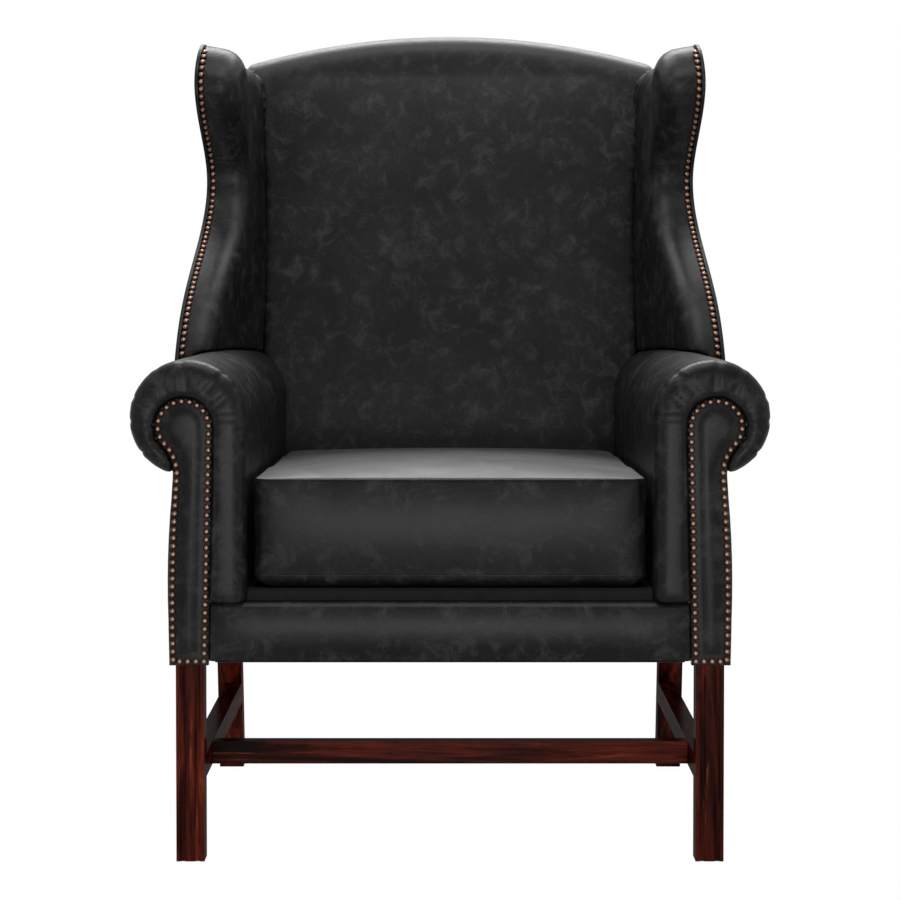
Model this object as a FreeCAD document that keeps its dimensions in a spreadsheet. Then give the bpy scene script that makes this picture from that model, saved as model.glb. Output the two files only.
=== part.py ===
"""Wing-back armchair with scroll arms, close-nailed leather and a moulded-leg stretcher base.

A parametric document in millimetres. +Z is up, the chair faces -Y, and the origin is on the floor
under the middle of the chair's box. Left and right are as seen from the front, so right is +X.
Depths are measured back from the front face of the arm facings.
"""

import FreeCAD
import Part
import math
import os
import re
from types import SimpleNamespace

import Sketcher
from FreeCAD import Placement, Rotation, Vector

doc = FreeCAD.newDocument("wing_armchair")

# Driving dimensions

DRIVING = {
    # Legs and stretchers
    "leg_size": 36,
    "leg_spread": 702,
    "flute_radius": 4.5,
    "flute_depth": 2.2,
    "flute_offset": 9.5,
    "rear_leg_sweep": 60,
    "stretcher_bottom": 105,
    "stretcher_height": 30,
    "stretcher_thick": 24,
    "cross_setback": 123,
    "tenon_length": 15,
    "tenon_shoulder": 6,
    "joint_gap": 0.1,
    "glide_radius": 11,
    "glide_height": 1.5,
    # Seat frame
    "rail_bottom": 261,
    "rail_height": 77,
    "rail_thick": 25,
    "frame_setback": 14,
    "frame_depth": 631,
    "block_leg": 70,
    "block_height": 45,
    "dowel_radius": 5,
    "dowel_length": 50,
    "dowel_spacing": 34,
    "screw_radius": 2.5,
    "screw_length": 45,
    "screw_head_radius": 5,
    # Back
    "chair_height": 1113,
    "crest_rise": 43,
    "crest_cover": 22,
    "crest_rail_height": 62,
    "crest_rail_thick": 28,
    "back_rake": 12,
    "post_width": 36,
    "post_depth": 36,
    "post_foot": 329,
    "post_lean": 25,
    "tack_rail_height": 40,
    "tack_rail_lift": 60,
    "back_pad_thick": 80,
    "back_crown": 8,
    "back_edge_round": 34,
    "back_foot_lift": 14,
    "back_half": 278,
    "back_head_half": 312,
    "back_flare_height": 800,
    "outside_panel": 5,
    # Wings
    "wing_outer_x": 415.5,
    "wing_splay": 6.84,
    "wing_thick": 50,
    "wing_taper": 3.4,
    "wing_board": 18,
    "wing_round": 26,
    "wing_cover": 22,
    "wing_foot_depth": 292,
    "wing_waist_depth": 511,
    "wing_waist_drop": 213,
    "ear_depth": 430,
    "ear_drop": 76,
    "ear_top_drop": 29,
    "ear_round": 49,
    "ear_fall": 18,
    "ear_fall_depth": 120,
    # Arms
    "arm_height": 646.5,
    "roll_radius": 74.5,
    "arm_inner_front": 260,
    "arm_inner_rear": 240,
    "arm_pad": 22,
    "arm_bulge": 10,
    "arm_round": 18,
    "arm_post_thick": 28,
    "arm_board_width": 80,
    "arm_board_thick": 22,
    "outside_arm": 10,
    "facing_head_radius": 38,
    "facing_head_x": 339,
    "facing_head_height": 561,
    "facing_width": 50,
    "facing_x": 333,
    "facing_drop": 5,
    # Seat
    "spring_count": 5,
    "spring_wire": 1.9,
    "spring_loop": 24,
    "spring_pitch": 24,
    "clip_length": 22,
    "clip_width": 14,
    "clip_thick": 1.5,
    "hessian_thick": 1.2,
    "deck_thick": 8,
    "deck_lip": 9,
    "cushion_thick": 141,
    "cushion_crown": 13,
    "cushion_gap": 2.5,
    "cushion_rear_gap": 8,
    "cushion_front": 2,
    "cushion_corner": 26,
    "cushion_edge": 18,
    "cushion_draw": 4,
    "leather_thick": 1.6,
    "zip_height": 24,
    "zip_length": 360,
    "zip_thick": 2,
    "slider_length": 14,
    "slider_width": 9,
    # Trim
    "border_round": 9,
    "dust_thick": 1,
    "web_width": 50,
    "web_thick": 1.5,
    "nail_radius": 4.7,
    "nail_height": 3,
    "nail_pitch": 10.4,
    "nail_inset": 5.5,
    "nail_shank": 1,
    "nail_length": 11,
    "soft_gap": 0.3,
}

# Values worked out from the driving dimensions

WORKED = {
    "rail_top": "dims.rail_bottom + dims.rail_height",
    "leg_outer": "dims.leg_spread / 2",
    "leg_half": "dims.leg_size / 2",
    "leg_inner": "dims.leg_spread / 2 - dims.leg_size",
    "rake_sin": "sin(dims.back_rake * 1deg)",
    "rake_cos": "cos(dims.back_rake * 1deg)",
    "back_foot": "dims.frame_setback + dims.frame_depth - dims.leg_size",
    "crest_lift": "(dims.back_pad_thick - dims.back_edge_round) * rake_sin + dims.back_edge_round * (1 - rake_cos)",
    "back_reach": "(dims.chair_height - rail_top - crest_lift) / rake_cos",
    "back_panel_top": "back_reach - dims.crest_cover / 2",
    "chair_back": "back_foot + back_panel_top * rake_sin + (dims.post_depth + dims.outside_panel) * rake_cos",
    "face_y": "(dims.arm_bulge - chair_back) / 2",
    "frame_y": "face_y + dims.frame_setback",
    "back_y": "face_y + back_foot",
    "roll_z": "dims.arm_height - dims.roll_radius",
    "wing_waist_height": "dims.chair_height - dims.wing_waist_drop",
    "ear_height": "dims.chair_height - dims.ear_drop",
    "ear_top": "dims.chair_height - dims.ear_top_drop",
    "spring_z": "rail_top + dims.clip_thick + dims.spring_wire + dims.joint_gap",
    "hessian_z": "spring_z + dims.spring_wire + dims.clip_thick + 2 * dims.joint_gap",
    "deck_bottom": "hessian_z + dims.hessian_thick",
    "deck_top": "deck_bottom + dims.deck_thick",
    "leg_x": "leg_outer - leg_half",
    "stretcher_x": "leg_inner + dims.stretcher_thick / 2",
    "rail_middle": "dims.rail_bottom + dims.rail_height / 2",
    "side_rail_inner": "leg_outer - dims.rail_thick",
    "visible_leg": "dims.rail_bottom - dims.glide_height",
}


def fill_sheet(name, cells, formula=False):
    """Makes a spreadsheet of aliased cells, one row each."""
    made = doc.addObject("Spreadsheet::Sheet", name)
    for row, (alias, value) in enumerate(cells.items(), start=1):
        made.set(f"A{row}", alias)
        made.set(f"B{row}", f"={value}" if formula else str(value))
        made.setAlias(f"B{row}", alias)
    doc.recompute()
    return made


dims = fill_sheet("dims", DRIVING)
worked = fill_sheet("worked", WORKED, formula=True)
v = SimpleNamespace(
    **{alias: float(dims.get(alias)) for alias in DRIVING},
    **{alias: float(worked.get(alias)) for alias in WORKED},
)


def bound(text):
    """An expression in plain cell names, with each name tied to the sheet that holds it."""
    def tie(match):
        word = match.group()
        if word in DRIVING:
            return f"dims.{word}"
        return f"worked.{word}" if word in WORKED else word
    return re.sub(r"[a-z_]+", tie, text)


probe = doc.addObject("Spreadsheet::Sheet", "probe")


def number(text):
    """The value of an expression in plain cell names, read from a cell kept for that."""
    probe.set("A1", f"={bound(text)}")
    probe.recompute()
    return float(probe.get("A1"))


# Helpers that make document objects

parts = {}


def keep(obj, label):
    """Registers an object as a sub-part under its label, which names its file."""
    obj.Label = label
    parts[label] = obj
    return obj


def shape_feature(name, shape):
    """A feature that holds a shape worked out from the sheet's values."""
    feature = doc.addObject("Part::Feature", name)
    feature.Shape = shape
    return feature


def board(name, size, corner):
    """A plain board: its three edges and its low corner are expressions."""
    box = doc.addObject("Part::Box", name)
    for prop, text in zip(("Length", "Width", "Height"), size):
        box.setExpression(prop, bound(text))
    for axis, text in zip("xyz", corner):
        box.setExpression(f"Placement.Base.{axis}", bound(text))
    return box


def cut(name, base, tool):
    """The base object with the tool object taken away."""
    made = doc.addObject("Part::Cut", name)
    made.Base = base
    made.Tool = tool
    doc.recompute()
    return made


def mirrored(right, label):
    """The left-hand twin of a right-hand sub-part, across the chair's middle plane."""
    twin = doc.addObject("Part::Mirroring", label)
    twin.Source = right
    twin.Normal = Vector(1, 0, 0)
    return keep(twin, label)


def both_sides(obj, stem):
    """Registers a right-hand object and its mirrored twin."""
    keep(obj, f"{stem}_right")
    doc.recompute()
    mirrored(obj, f"{stem}_left")


def origin_plane(body, role):
    return next(f for f in body.Origin.OriginFeatures if f.Role == role)


def polygon_sketch(body, name, role, corners, lift="0"):
    """A closed sketch through corners given as pairs of expressions, on one of the body's planes."""
    sketch = body.newObject("Sketcher::SketchObject", name)
    sketch.AttachmentSupport = [(origin_plane(body, role), "")]
    sketch.MapMode = "FlatFace"
    sketch.setExpression("AttachmentOffset.Base.z", bound(lift))
    places = [Vector(number(a), number(b), 0) for a, b in corners]
    count = len(corners)
    for i in range(count):
        sketch.addGeometry(Part.LineSegment(places[i], places[(i + 1) % count]), False)
    for i in range(count):
        sketch.addConstraint(Sketcher.Constraint("Coincident", i, 2, (i + 1) % count, 1))
    for i, corner in enumerate(corners):
        for kind, text, place in zip(("DistanceX", "DistanceY"), corner, places[i]):
            tie = sketch.addConstraint(Sketcher.Constraint(kind, -1, 1, i, 1, place))
            sketch.setExpression(f"Constraints[{tie}]", bound(text))
    doc.recompute()
    return sketch


def circle_sketch(body, name, role, circles, lift="0"):
    """A sketch of circles, each given as expressions for its centre and radius."""
    sketch = body.newObject("Sketcher::SketchObject", name)
    sketch.AttachmentSupport = [(origin_plane(body, role), "")]
    sketch.MapMode = "FlatFace"
    sketch.setExpression("AttachmentOffset.Base.z", bound(lift))
    for i, (a, b, radius) in enumerate(circles):
        centre = Vector(number(a), number(b), 0)
        sketch.addGeometry(Part.Circle(centre, Vector(0, 0, 1), number(radius)), False)
        for kind, text, place in zip(("DistanceX", "DistanceY"), (a, b), centre):
            tie = sketch.addConstraint(Sketcher.Constraint(kind, -1, 1, i, 3, place))
            sketch.setExpression(f"Constraints[{tie}]", bound(text))
        tie = sketch.addConstraint(Sketcher.Constraint("Radius", i, number(radius)))
        sketch.setExpression(f"Constraints[{tie}]", bound(radius))
    doc.recompute()
    return sketch


def pad(body, name, sketch, length, midplane=False):
    feature = body.newObject("PartDesign::Pad", name)
    feature.Profile = sketch
    feature.setExpression("Length", bound(length))
    feature.Midplane = midplane
    doc.recompute()
    return feature


def pocket(body, name, sketch, length, against=False):
    """A pocket from its sketch; against turns it round. It has to take some wood away."""
    before = body.Shape.Volume
    feature = body.newObject("PartDesign::Pocket", name)
    feature.Profile = sketch
    feature.setExpression("Length", bound(length))
    feature.Reversed = against
    doc.recompute()
    if body.Shape.Volume > before - 1e-6:
        raise ValueError(f"{name} cuts nothing")
    return feature


# Geometry helpers

def spot(x, depth, z):
    """A point from its distance right of the middle, its depth behind the facings and its height."""
    return Vector(x, v.face_y + depth, z)


def raked(shape):
    """Leans a shape built upright on the back's foot line back by the rake of the back."""
    lean = Placement(Vector(0, v.back_y, v.rail_top), Rotation(Vector(1, 0, 0), -v.back_rake))
    made = shape.copy()
    made.Placement = lean.multiply(made.Placement)
    return made


def arc(start, through, end):
    return Part.Arc(start, through, end).toShape()


def line(start, end):
    return Part.LineSegment(start, end).toShape()


def loop(*edges):
    return Part.Wire(Part.__sortEdges__(list(edges)))


def prism(wire, along):
    return Part.Face(wire).extrude(along)


def polygon(points):
    return Part.makePolygon(points + points[:1])


def soft_edges(solid, radius, wanted):
    """Rounds the edges of a solid whose middle point passes a test."""
    chosen = []
    for edge in solid.Edges:
        middle = edge.valueAt((edge.FirstParameter + edge.LastParameter) / 2)
        if wanted(middle, edge):
            chosen.append(edge)
    return solid.makeFillet(radius, chosen)


FAR = 4 * v.chair_height


# Front legs: square moulded legs with flutes on the two outer faces

def front_leg():
    body = doc.addObject("PartDesign::Body", "front_leg_right")
    half = "leg_half"
    square = [(f"-{half}", f"-{half}"), (half, f"-{half}"), (half, half), (f"-{half}", half)]
    section = polygon_sketch(body, "section", "XY_Plane", square, "glide_height")
    pad(body, "shaft", section, "visible_leg + rail_height")
    reach = "leg_half + flute_radius - flute_depth"
    front = [(f"{sign}flute_offset", f"-({reach})", "flute_radius") for sign in ("-", "")]
    outer = [(reach, f"{sign}flute_offset", "flute_radius") for sign in ("-", "")]
    flutes = circle_sketch(body, "flute_circles", "XY_Plane", front + outer, "glide_height")
    pocket(body, "flutes", flutes, "visible_leg", against=True)
    mortise = stretcher_mortise(body, "side_mortise", "stretcher_x - leg_x",
                                "leg_half - tenon_length - joint_gap", "leg_half")
    pocket(body, "mortise", mortise, "stretcher_height - 2 * tenon_shoulder + 2 * joint_gap", against=True)
    body.setExpression("Placement.Base.x", bound("leg_x"))
    body.setExpression("Placement.Base.y", bound("frame_y + leg_half"))
    doc.recompute()
    return body


def stretcher_mortise(body, name, middle, near, far):
    """The plan of a mortise for a stretcher's tenon, at the height of the tenon's underside."""
    side = "(stretcher_thick / 2 - tenon_shoulder + joint_gap)"
    corners = [(f"{middle} - {side}", near), (f"{middle} + {side}", near),
               (f"{middle} + {side}", far), (f"{middle} - {side}", far)]
    return polygon_sketch(body, name, "XY_Plane", corners,
                          "stretcher_bottom + tenon_shoulder - joint_gap")


# Rear legs: plain square legs that sweep back below the rail

def rear_leg():
    body = doc.addObject("PartDesign::Body", "rear_leg_right")
    foot = "back_foot + rear_leg_sweep"
    corners = [(foot, "glide_height"), (f"{foot} + leg_size", "glide_height"),
               ("back_foot + leg_size", "rail_bottom"), ("back_foot + leg_size", "rail_top"),
               ("back_foot", "rail_top"), ("back_foot", "rail_bottom")]
    side = polygon_sketch(body, "side_view", "YZ_Plane", corners)
    pad(body, "leg", side, "leg_size", midplane=True)
    reach = f"back_foot + {leg_sweep_at('stretcher_bottom')} + tenon_length + joint_gap"
    mortise = stretcher_mortise(body, "side_mortise", "stretcher_x - leg_x", "back_foot - 1", reach)
    pocket(body, "mortise", mortise, "stretcher_height - 2 * tenon_shoulder + 2 * joint_gap", against=True)
    body.setExpression("Placement.Base.x", bound("leg_x"))
    body.setExpression("Placement.Base.y", bound("face_y"))
    doc.recompute()
    return body


def leg_sweep_at(height):
    """How far back of the rail the front of a rear leg stands at a height."""
    return f"rear_leg_sweep * (rail_bottom - ({height})) / visible_leg"


# Stretchers: side stretchers tenoned into the legs, and a cross stretcher tenoned into them

def side_stretcher():
    body = doc.addObject("PartDesign::Body", "side_stretcher_right")
    front = "frame_setback + leg_size"
    low, high = "stretcher_bottom", "(stretcher_bottom + stretcher_height)"
    shoulders = [(front, low), (f"back_foot + {leg_sweep_at(low)}", low),
                 (f"back_foot + {leg_sweep_at(high)}", high), (front, high)]
    rail = polygon_sketch(body, "side_view", "YZ_Plane", shoulders)
    pad(body, "rail", rail, "stretcher_thick", midplane=True)
    low, high = f"({low} + tenon_shoulder)", f"({high} - tenon_shoulder)"
    ends = [(f"{front} - tenon_length", low), (f"back_foot + {leg_sweep_at(low)} + tenon_length", low),
            (f"back_foot + {leg_sweep_at(high)} + tenon_length", high), (f"{front} - tenon_length", high)]
    tongue = polygon_sketch(body, "tenon_view", "YZ_Plane", ends)
    pad(body, "tenons", tongue, "stretcher_thick - 2 * tenon_shoulder", midplane=True)
    side = "(stretcher_thick / 2 - tenon_shoulder + joint_gap)"
    centre = "(frame_setback + cross_setback + stretcher_thick / 2)"
    inner, deep = "-(stretcher_thick / 2)", "-(stretcher_thick / 2 - tenon_length - joint_gap)"
    corners = [(inner, f"{centre} - {side}"), (deep, f"{centre} - {side}"),
               (deep, f"{centre} + {side}"), (inner, f"{centre} + {side}")]
    slot = polygon_sketch(body, "cross_mortise", "XY_Plane", corners,
                          "stretcher_bottom + tenon_shoulder - joint_gap")
    pocket(body, "mortise", slot, "stretcher_height - 2 * tenon_shoulder + 2 * joint_gap", against=True)
    body.setExpression("Placement.Base.x", bound("stretcher_x"))
    body.setExpression("Placement.Base.y", bound("face_y"))
    doc.recompute()
    return body


def cross_stretcher():
    body = doc.addObject("PartDesign::Body", "cross_stretcher")
    half = "(stretcher_x - stretcher_thick / 2)"
    low, high = "stretcher_bottom", "stretcher_bottom + stretcher_height"
    face = [(f"-{half}", low), (half, low), (half, high), (f"-{half}", high)]
    rail = polygon_sketch(body, "front_view", "XZ_Plane", face)
    pad(body, "rail", rail, "stretcher_thick", midplane=True)
    half = f"({half} + tenon_length)"
    low, high = f"{low} + tenon_shoulder", f"{high} - tenon_shoulder"
    ends = [(f"-{half}", low), (half, low), (half, high), (f"-{half}", high)]
    tongue = polygon_sketch(body, "tenon_view", "XZ_Plane", ends)
    pad(body, "tenons", tongue, "stretcher_thick - 2 * tenon_shoulder", midplane=True)
    body.setExpression("Placement.Base.y", bound("frame_y + cross_setback + stretcher_thick / 2"))
    doc.recompute()
    return body


# Nail-on glides under the four feet

def leg_glides():
    rear = v.back_foot + v.rear_leg_sweep + v.leg_half
    places = [(side * v.leg_x, depth) for side in (-1, 1) for depth in (v.frame_setback + v.leg_half, rear)]
    glides = []
    for x, depth in places:
        disc = Part.makeCylinder(v.glide_radius, v.glide_height, spot(x, depth, 0))
        rim = disc.Edges[0] if disc.Edges[0].CenterOfMass.z < disc.Edges[2].CenterOfMass.z else disc.Edges[2]
        glides.append(disc.makeFillet(v.glide_height / 3, [rim]))
    return shape_feature("leg_glides", Part.makeCompound(glides))


# Seat frame: four rails between the legs

def dowel(start, along):
    """A dowel centred on a joint face, and the hole drilled for it."""
    radius, length = v.dowel_radius, v.dowel_length
    along = Vector(along)
    pin = Part.makeCylinder(radius, length, start - along * (length / 2), along)
    ends = [e for e in pin.Edges if e.Curve.TypeId == "Part::GeomCircle"]
    pin = pin.makeChamfer(radius / 5, ends)
    room = length / 2 + 1
    hole = Part.makeCylinder(radius + v.joint_gap, 2 * room, start - along * room, along)
    return pin, hole


def rail_dowels():
    """The right-hand dowels of the seat rails and of the post on the rear leg."""
    rail_mid = v.frame_setback + v.rail_thick / 2
    rear_mid = v.back_foot + v.leg_half
    side_mid = v.leg_outer - v.rail_thick / 2
    drop = v.dowel_spacing * 0.38
    made = []
    for lift in (-v.dowel_spacing / 2, v.dowel_spacing / 2):
        level = v.rail_middle + lift
        made.append(dowel(spot(v.leg_inner, rail_mid, level), Vector(1, 0, 0)))
        made.append(dowel(spot(v.leg_inner, rear_mid, level), Vector(1, 0, 0)))
        made.append(dowel(spot(side_mid, v.frame_setback + v.leg_size, level - drop), Vector(0, 1, 0)))
        made.append(dowel(spot(side_mid, v.back_foot, level - drop), Vector(0, 1, 0)))
    return [pin for pin, _ in made], [hole for _, hole in made]


def both_hands(shapes):
    """Right-hand shapes and their mirror images."""
    return shapes + [shape.mirror(Vector(0, 0, 0), Vector(1, 0, 0)) for shape in shapes]


def corner_block(name, front):
    """A right-hand corner block, shaped around the leg where a side rail meets the front or rear rail."""
    body = doc.addObject("PartDesign::Body", name)
    if front:
        rail_face, leg_face, reach = "frame_setback + rail_thick", "frame_setback + leg_size", "block_leg"
    else:
        rail_face, leg_face, reach = "back_foot + (leg_size - rail_thick) / 2", "back_foot", "(0 - block_leg)"
    corners = [("leg_inner - block_leg", rail_face), ("leg_inner", rail_face), ("leg_inner", leg_face),
               ("side_rail_inner", leg_face), ("side_rail_inner", f"{leg_face} + {reach}")]
    plan = polygon_sketch(body, "plan", "XY_Plane", corners, "rail_top - block_height - clip_width")
    pad(body, "block", plan, "block_height")
    body.setExpression("Placement.Base.y", bound("face_y"))
    doc.recompute()
    return body


def block_screw(front):
    """A right-hand corner block's screw, through the block into the leg's inner corner, and its hole."""
    leg_face = v.frame_setback + v.leg_size if front else v.back_foot
    heading = Vector(1, -1, 0) if front else Vector(1, 1, 0)
    heading.normalize()
    corner = spot(v.leg_inner, leg_face, v.rail_top - v.clip_width - v.block_height / 2)
    tip = corner + heading * (v.screw_length / 3)
    head = tip - heading * v.screw_length
    shaft = Part.makeCylinder(v.screw_radius, v.screw_length, head, heading)
    cap = Part.makeCone(v.screw_head_radius, v.screw_radius, v.screw_radius, head, heading)
    room = v.joint_gap
    hole = Part.makeCylinder(v.screw_radius + room, v.screw_length + room, head, heading)
    sink_from = head - heading * v.block_leg
    reach = v.block_leg + v.screw_radius + room
    sink = Part.makeCylinder(v.screw_head_radius + room, reach, sink_from, heading)
    return shaft.fuse(cap).removeSplitter(), hole.fuse(sink)


pins, holes = rail_dowels()
screws_made = [block_screw(True), block_screw(False)]
joint_holes = shape_feature("joint_holes", Part.makeCompound(both_hands(holes)))
screw_holes = shape_feature("screw_holes", Part.makeCompound([hole for _, hole in screws_made]))
leg_holes = shape_feature("leg_holes", Part.makeCompound(holes + [hole for _, hole in screws_made]))

both_sides(cut("front_leg_drilled", front_leg(), leg_holes), "front_leg")
both_sides(cut("rear_leg_drilled", rear_leg(), leg_holes), "rear_leg")
both_sides(side_stretcher(), "side_stretcher")
keep(cross_stretcher(), "cross_stretcher")
keep(leg_glides(), "leg_glides")

rail_span = "2 * leg_inner"
front_blank = board("front_rail_blank", (rail_span, "rail_thick", "rail_height"),
                    ("0 - leg_inner", "frame_y", "rail_bottom"))
keep(cut("front_rail", front_blank, joint_holes), "front_rail")
rear_blank = board("rear_rail_blank", (rail_span, "rail_thick", "rail_height"),
                   ("0 - leg_inner", "back_y + (leg_size - rail_thick) / 2", "rail_bottom"))
keep(cut("rear_rail", rear_blank, joint_holes), "rear_rail")
side_blank = board("side_rail_blank", ("rail_thick", "frame_depth - 2 * leg_size", "rail_height"),
                   ("side_rail_inner", "frame_y + leg_size", "rail_bottom"))
both_sides(cut("side_rail_drilled", side_blank, joint_holes), "side_rail")

blocks = [cut("front_block_drilled", corner_block("front_block", True), screw_holes),
          cut("rear_block_drilled", corner_block("rear_block", False), screw_holes)]
keep(shape_feature("corner_blocks", Part.makeCompound(both_hands([b.Shape for b in blocks]))),
     "corner_blocks")
keep(shape_feature("corner_block_screws", Part.makeCompound(both_hands([s for s, _ in screws_made]))),
     "corner_block_screws")
keep(shape_feature("frame_dowels", Part.makeCompound(both_hands(pins))), "frame_dowels")


# Back frame, built upright on the back's foot line and then raked

CREST_END = v.back_reach - v.crest_rise / v.rake_cos


def lean_at(height):
    """The outer face of a back post at a height up the back."""
    return v.post_foot - v.post_lean * height / v.back_reach


def arch(half, drop, depth):
    """The edge of the crest's arch, lowered by a drop."""
    rise = v.back_reach - CREST_END
    radius = (v.back_head_half ** 2 + rise ** 2) / (2 * rise)

    def height(x):
        return v.back_reach - drop - radius + math.sqrt(radius ** 2 - x ** 2)
    ends = [Vector(x, depth, height(x)) for x in (-half, 0, half)]
    return arc(*ends)


def crest_rail():
    half = lean_at(v.back_reach)
    foot = CREST_END - v.crest_cover - v.crest_rail_height / 2
    top = arch(half, v.crest_cover, 0)
    corners = [Vector(half, 0, foot), Vector(-half, 0, foot)]
    first, last = top.Vertexes[0].Point, top.Vertexes[-1].Point
    outline = loop(top, line(last, corners[0]), line(corners[0], corners[1]), line(corners[1], first))
    return raked(prism(outline, Vector(0, v.crest_rail_thick, 0))), foot


def back_post(head):
    foot = -v.leg_size
    corners = [(lean_at(foot), foot), (lean_at(head), head), (lean_at(head) - v.post_width, head),
               (lean_at(foot) - v.post_width, foot)]
    outline = polygon([Vector(x, 0, height) for x, height in corners])
    below = Part.makeBox(FAR, FAR, FAR, Vector(-FAR / 2, -FAR / 2, v.rail_top - FAR))
    return raked(prism(outline, Vector(0, v.post_depth, 0))).cut(below)


crest_shape, crest_foot = crest_rail()
post_shape = back_post(crest_foot)
keep(shape_feature("crest_rail", crest_shape), "crest_rail")
both_sides(shape_feature("back_post_right", post_shape), "back_post")
posts = Part.makeCompound(both_hands([post_shape]))
tack_span = 2 * lean_at(v.tack_rail_lift) - v.post_width
tack_blank = Part.makeBox(tack_span, v.rail_thick, v.tack_rail_height,
                          Vector(-tack_span / 2, 0, v.tack_rail_lift))
keep(shape_feature("back_tacking_rail", raked(tack_blank).cut(posts)), "back_tacking_rail")


# Forms that the upholstery is cut from

def behind(distance):
    """Everything farther back than a distance behind the back's foot line, square to the rake."""
    return raked(Part.makeBox(FAR, FAR, FAR, Vector(-FAR / 2, distance, -FAR / 2)))


def roll_at(depth, grow=0):
    """The arm's inner face, its roll's middle and its roll's radius at a depth."""
    slope = (v.arm_inner_front - v.arm_inner_rear) / v.back_foot
    inner = v.arm_inner_front - slope * depth
    return inner - grow, inner + v.roll_radius, v.roll_radius + grow


def on_roll(middle, radius, depth, degrees):
    angle = math.radians(degrees)
    return spot(middle + radius * math.cos(angle), depth, v.roll_z + radius * math.sin(angle))


def roll_arcs(middle, radius, depth, last):
    """The roll's edge from its inner side over the top to a last angle below its outer side."""
    stops = [(180, 135, 90), (90, 45, 0), (0, last / 2, last)]
    return [arc(*[on_roll(middle, radius, depth, a) for a in stop]) for stop in stops]


def under_angle(middle, radius):
    return -math.degrees(math.acos((v.leg_outer - middle) / radius))


def arm_outline(depth, grow=0):
    """The whole arm's outline: inner face, roll, and the outer face of the frame."""
    inner, middle, radius = roll_at(depth, grow)
    last = under_angle(middle, radius)
    low = v.rail_top - grow
    corners = [spot(v.leg_outer, depth, low), spot(inner, depth, low)]
    edges = roll_arcs(middle, radius, depth, last)
    edges.append(line(on_roll(middle, radius, depth, last), corners[0]))
    edges.append(line(corners[0], corners[1]))
    edges.append(line(corners[1], on_roll(middle, radius, depth, 180)))
    return Part.Wire(edges)


def arm_shell_outline(depth):
    """The arm's stuffed cover: the outline down to the underside of the roll, one pad thick."""
    inner, middle, radius = roll_at(depth)
    core = radius - v.arm_pad
    outer_last, core_last = under_angle(middle, radius), under_angle(middle, core)
    low = v.rail_top
    edges = roll_arcs(middle, radius, depth, outer_last)
    edges.append(line(on_roll(middle, radius, depth, outer_last), on_roll(middle, core, depth, core_last)))
    edges += roll_arcs(middle, core, depth, core_last)[::-1]
    edges.append(line(on_roll(middle, core, depth, 180), spot(inner + v.arm_pad, depth, low)))
    edges.append(line(spot(inner + v.arm_pad, depth, low), spot(inner, depth, low)))
    edges.append(line(spot(inner, depth, low), on_roll(middle, radius, depth, 180)))
    return Part.Wire(Part.__sortEdges__(edges))


ARM_END = v.back_foot + 2 * v.leg_size + (v.arm_height - v.rail_top) * v.rake_sin / v.rake_cos
rear_space = behind(v.post_depth)


def arm_form(start, grow=0):
    """The whole arm as a solid, from a depth to the rear of the posts."""
    solid = Part.makeLoft([arm_outline(start, grow), arm_outline(ARM_END, grow)], True, True)
    return solid.cut(rear_space)


def facing_outline(grow=0):
    """The nailed facing on the front of an arm: a stem that swells into a round head."""
    half, radius = v.facing_width / 2, v.facing_head_radius
    head_x, head_z = v.facing_head_x, v.facing_head_height
    low = v.rail_bottom - v.facing_drop

    def head(degrees):
        angle = math.radians(degrees)
        return spot(head_x + radius * math.cos(angle), 0, head_z + radius * math.sin(angle))
    outer_low, inner_low = spot(v.facing_x + half, 0, low), spot(v.facing_x - half, 0, low)
    neck = spot(v.facing_x + half - 5, 0, head_z - 1.75 * radius)
    waist = spot(v.facing_x + half - 1.5, 0, head_z - 1.1 * radius)
    hip = spot(v.facing_x + half + 1, 0, v.rail_top)
    edges = [line(inner_low, head(180)), arc(head(180), head(135), head(90)),
             arc(head(90), head(45), head(0)), arc(head(0), head(-20), head(-40)),
             arc(head(-40), waist, neck), arc(neck, hip, outer_low),
             line(outer_low, inner_low)]
    wire = Part.Wire(edges)
    return wire.makeOffset2D(grow) if grow else wire


def wing_place(shape):
    """Moves a shape from the wing's own plane, where its outer face is x = 0, to its place."""
    made = shape.copy()
    made.Placement = Placement(spot(v.wing_outer_x, 0, 0), Rotation(Vector(0, 0, 1), v.wing_splay))
    return made


SPLAY_COS = math.cos(math.radians(v.wing_splay))


def wing_point(depth, z):
    return Vector(0, depth / SPLAY_COS, z)


def wing_front(inset=0):
    """The wing's front edge: a sweep up from the arm, in at the waist and out to the ear."""
    foot_z = v.arm_height - v.arm_pad
    rise, reach = v.wing_waist_height - foot_z, v.wing_waist_depth - v.wing_foot_depth
    slant = inset * math.sqrt(0.5)
    points = [wing_point(v.wing_foot_depth + inset, foot_z),
              wing_point(v.wing_foot_depth + 0.52 * reach + slant, foot_z + 0.51 * rise - slant),
              wing_point(v.wing_waist_depth + inset, v.wing_waist_height),
              wing_point(v.ear_depth + inset, v.ear_height - inset / 2),
              wing_point(v.ear_depth + v.ear_round, v.ear_top - inset),
              wing_point(v.ear_depth + v.ear_fall_depth, v.ear_top - v.ear_fall - inset)]
    curve = Part.BSplineCurve()
    curve.interpolate(Points=points, InitialTangent=Vector(0, 0.35, 1), FinalTangent=Vector(0, 1, -0.04))
    return curve.toShape()


def wing_outline(inset=0):
    """The wing seen square to its outer face, run on past the back and down into the arm."""
    front = wing_front(inset)
    start, end = front.Vertexes[0].Point, front.Vertexes[-1].Point
    rear_top = wing_point(v.chair_back, v.ear_top - v.ear_fall - v.crest_rise / 6 - inset)
    low = v.roll_z + inset
    rear_low = wing_point(v.chair_back, low)
    front_low = Vector(start.x, start.y, low)
    return Part.Wire([front, line(end, rear_top), line(rear_top, rear_low), line(rear_low, front_low),
                      line(front_low, start)])


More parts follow.
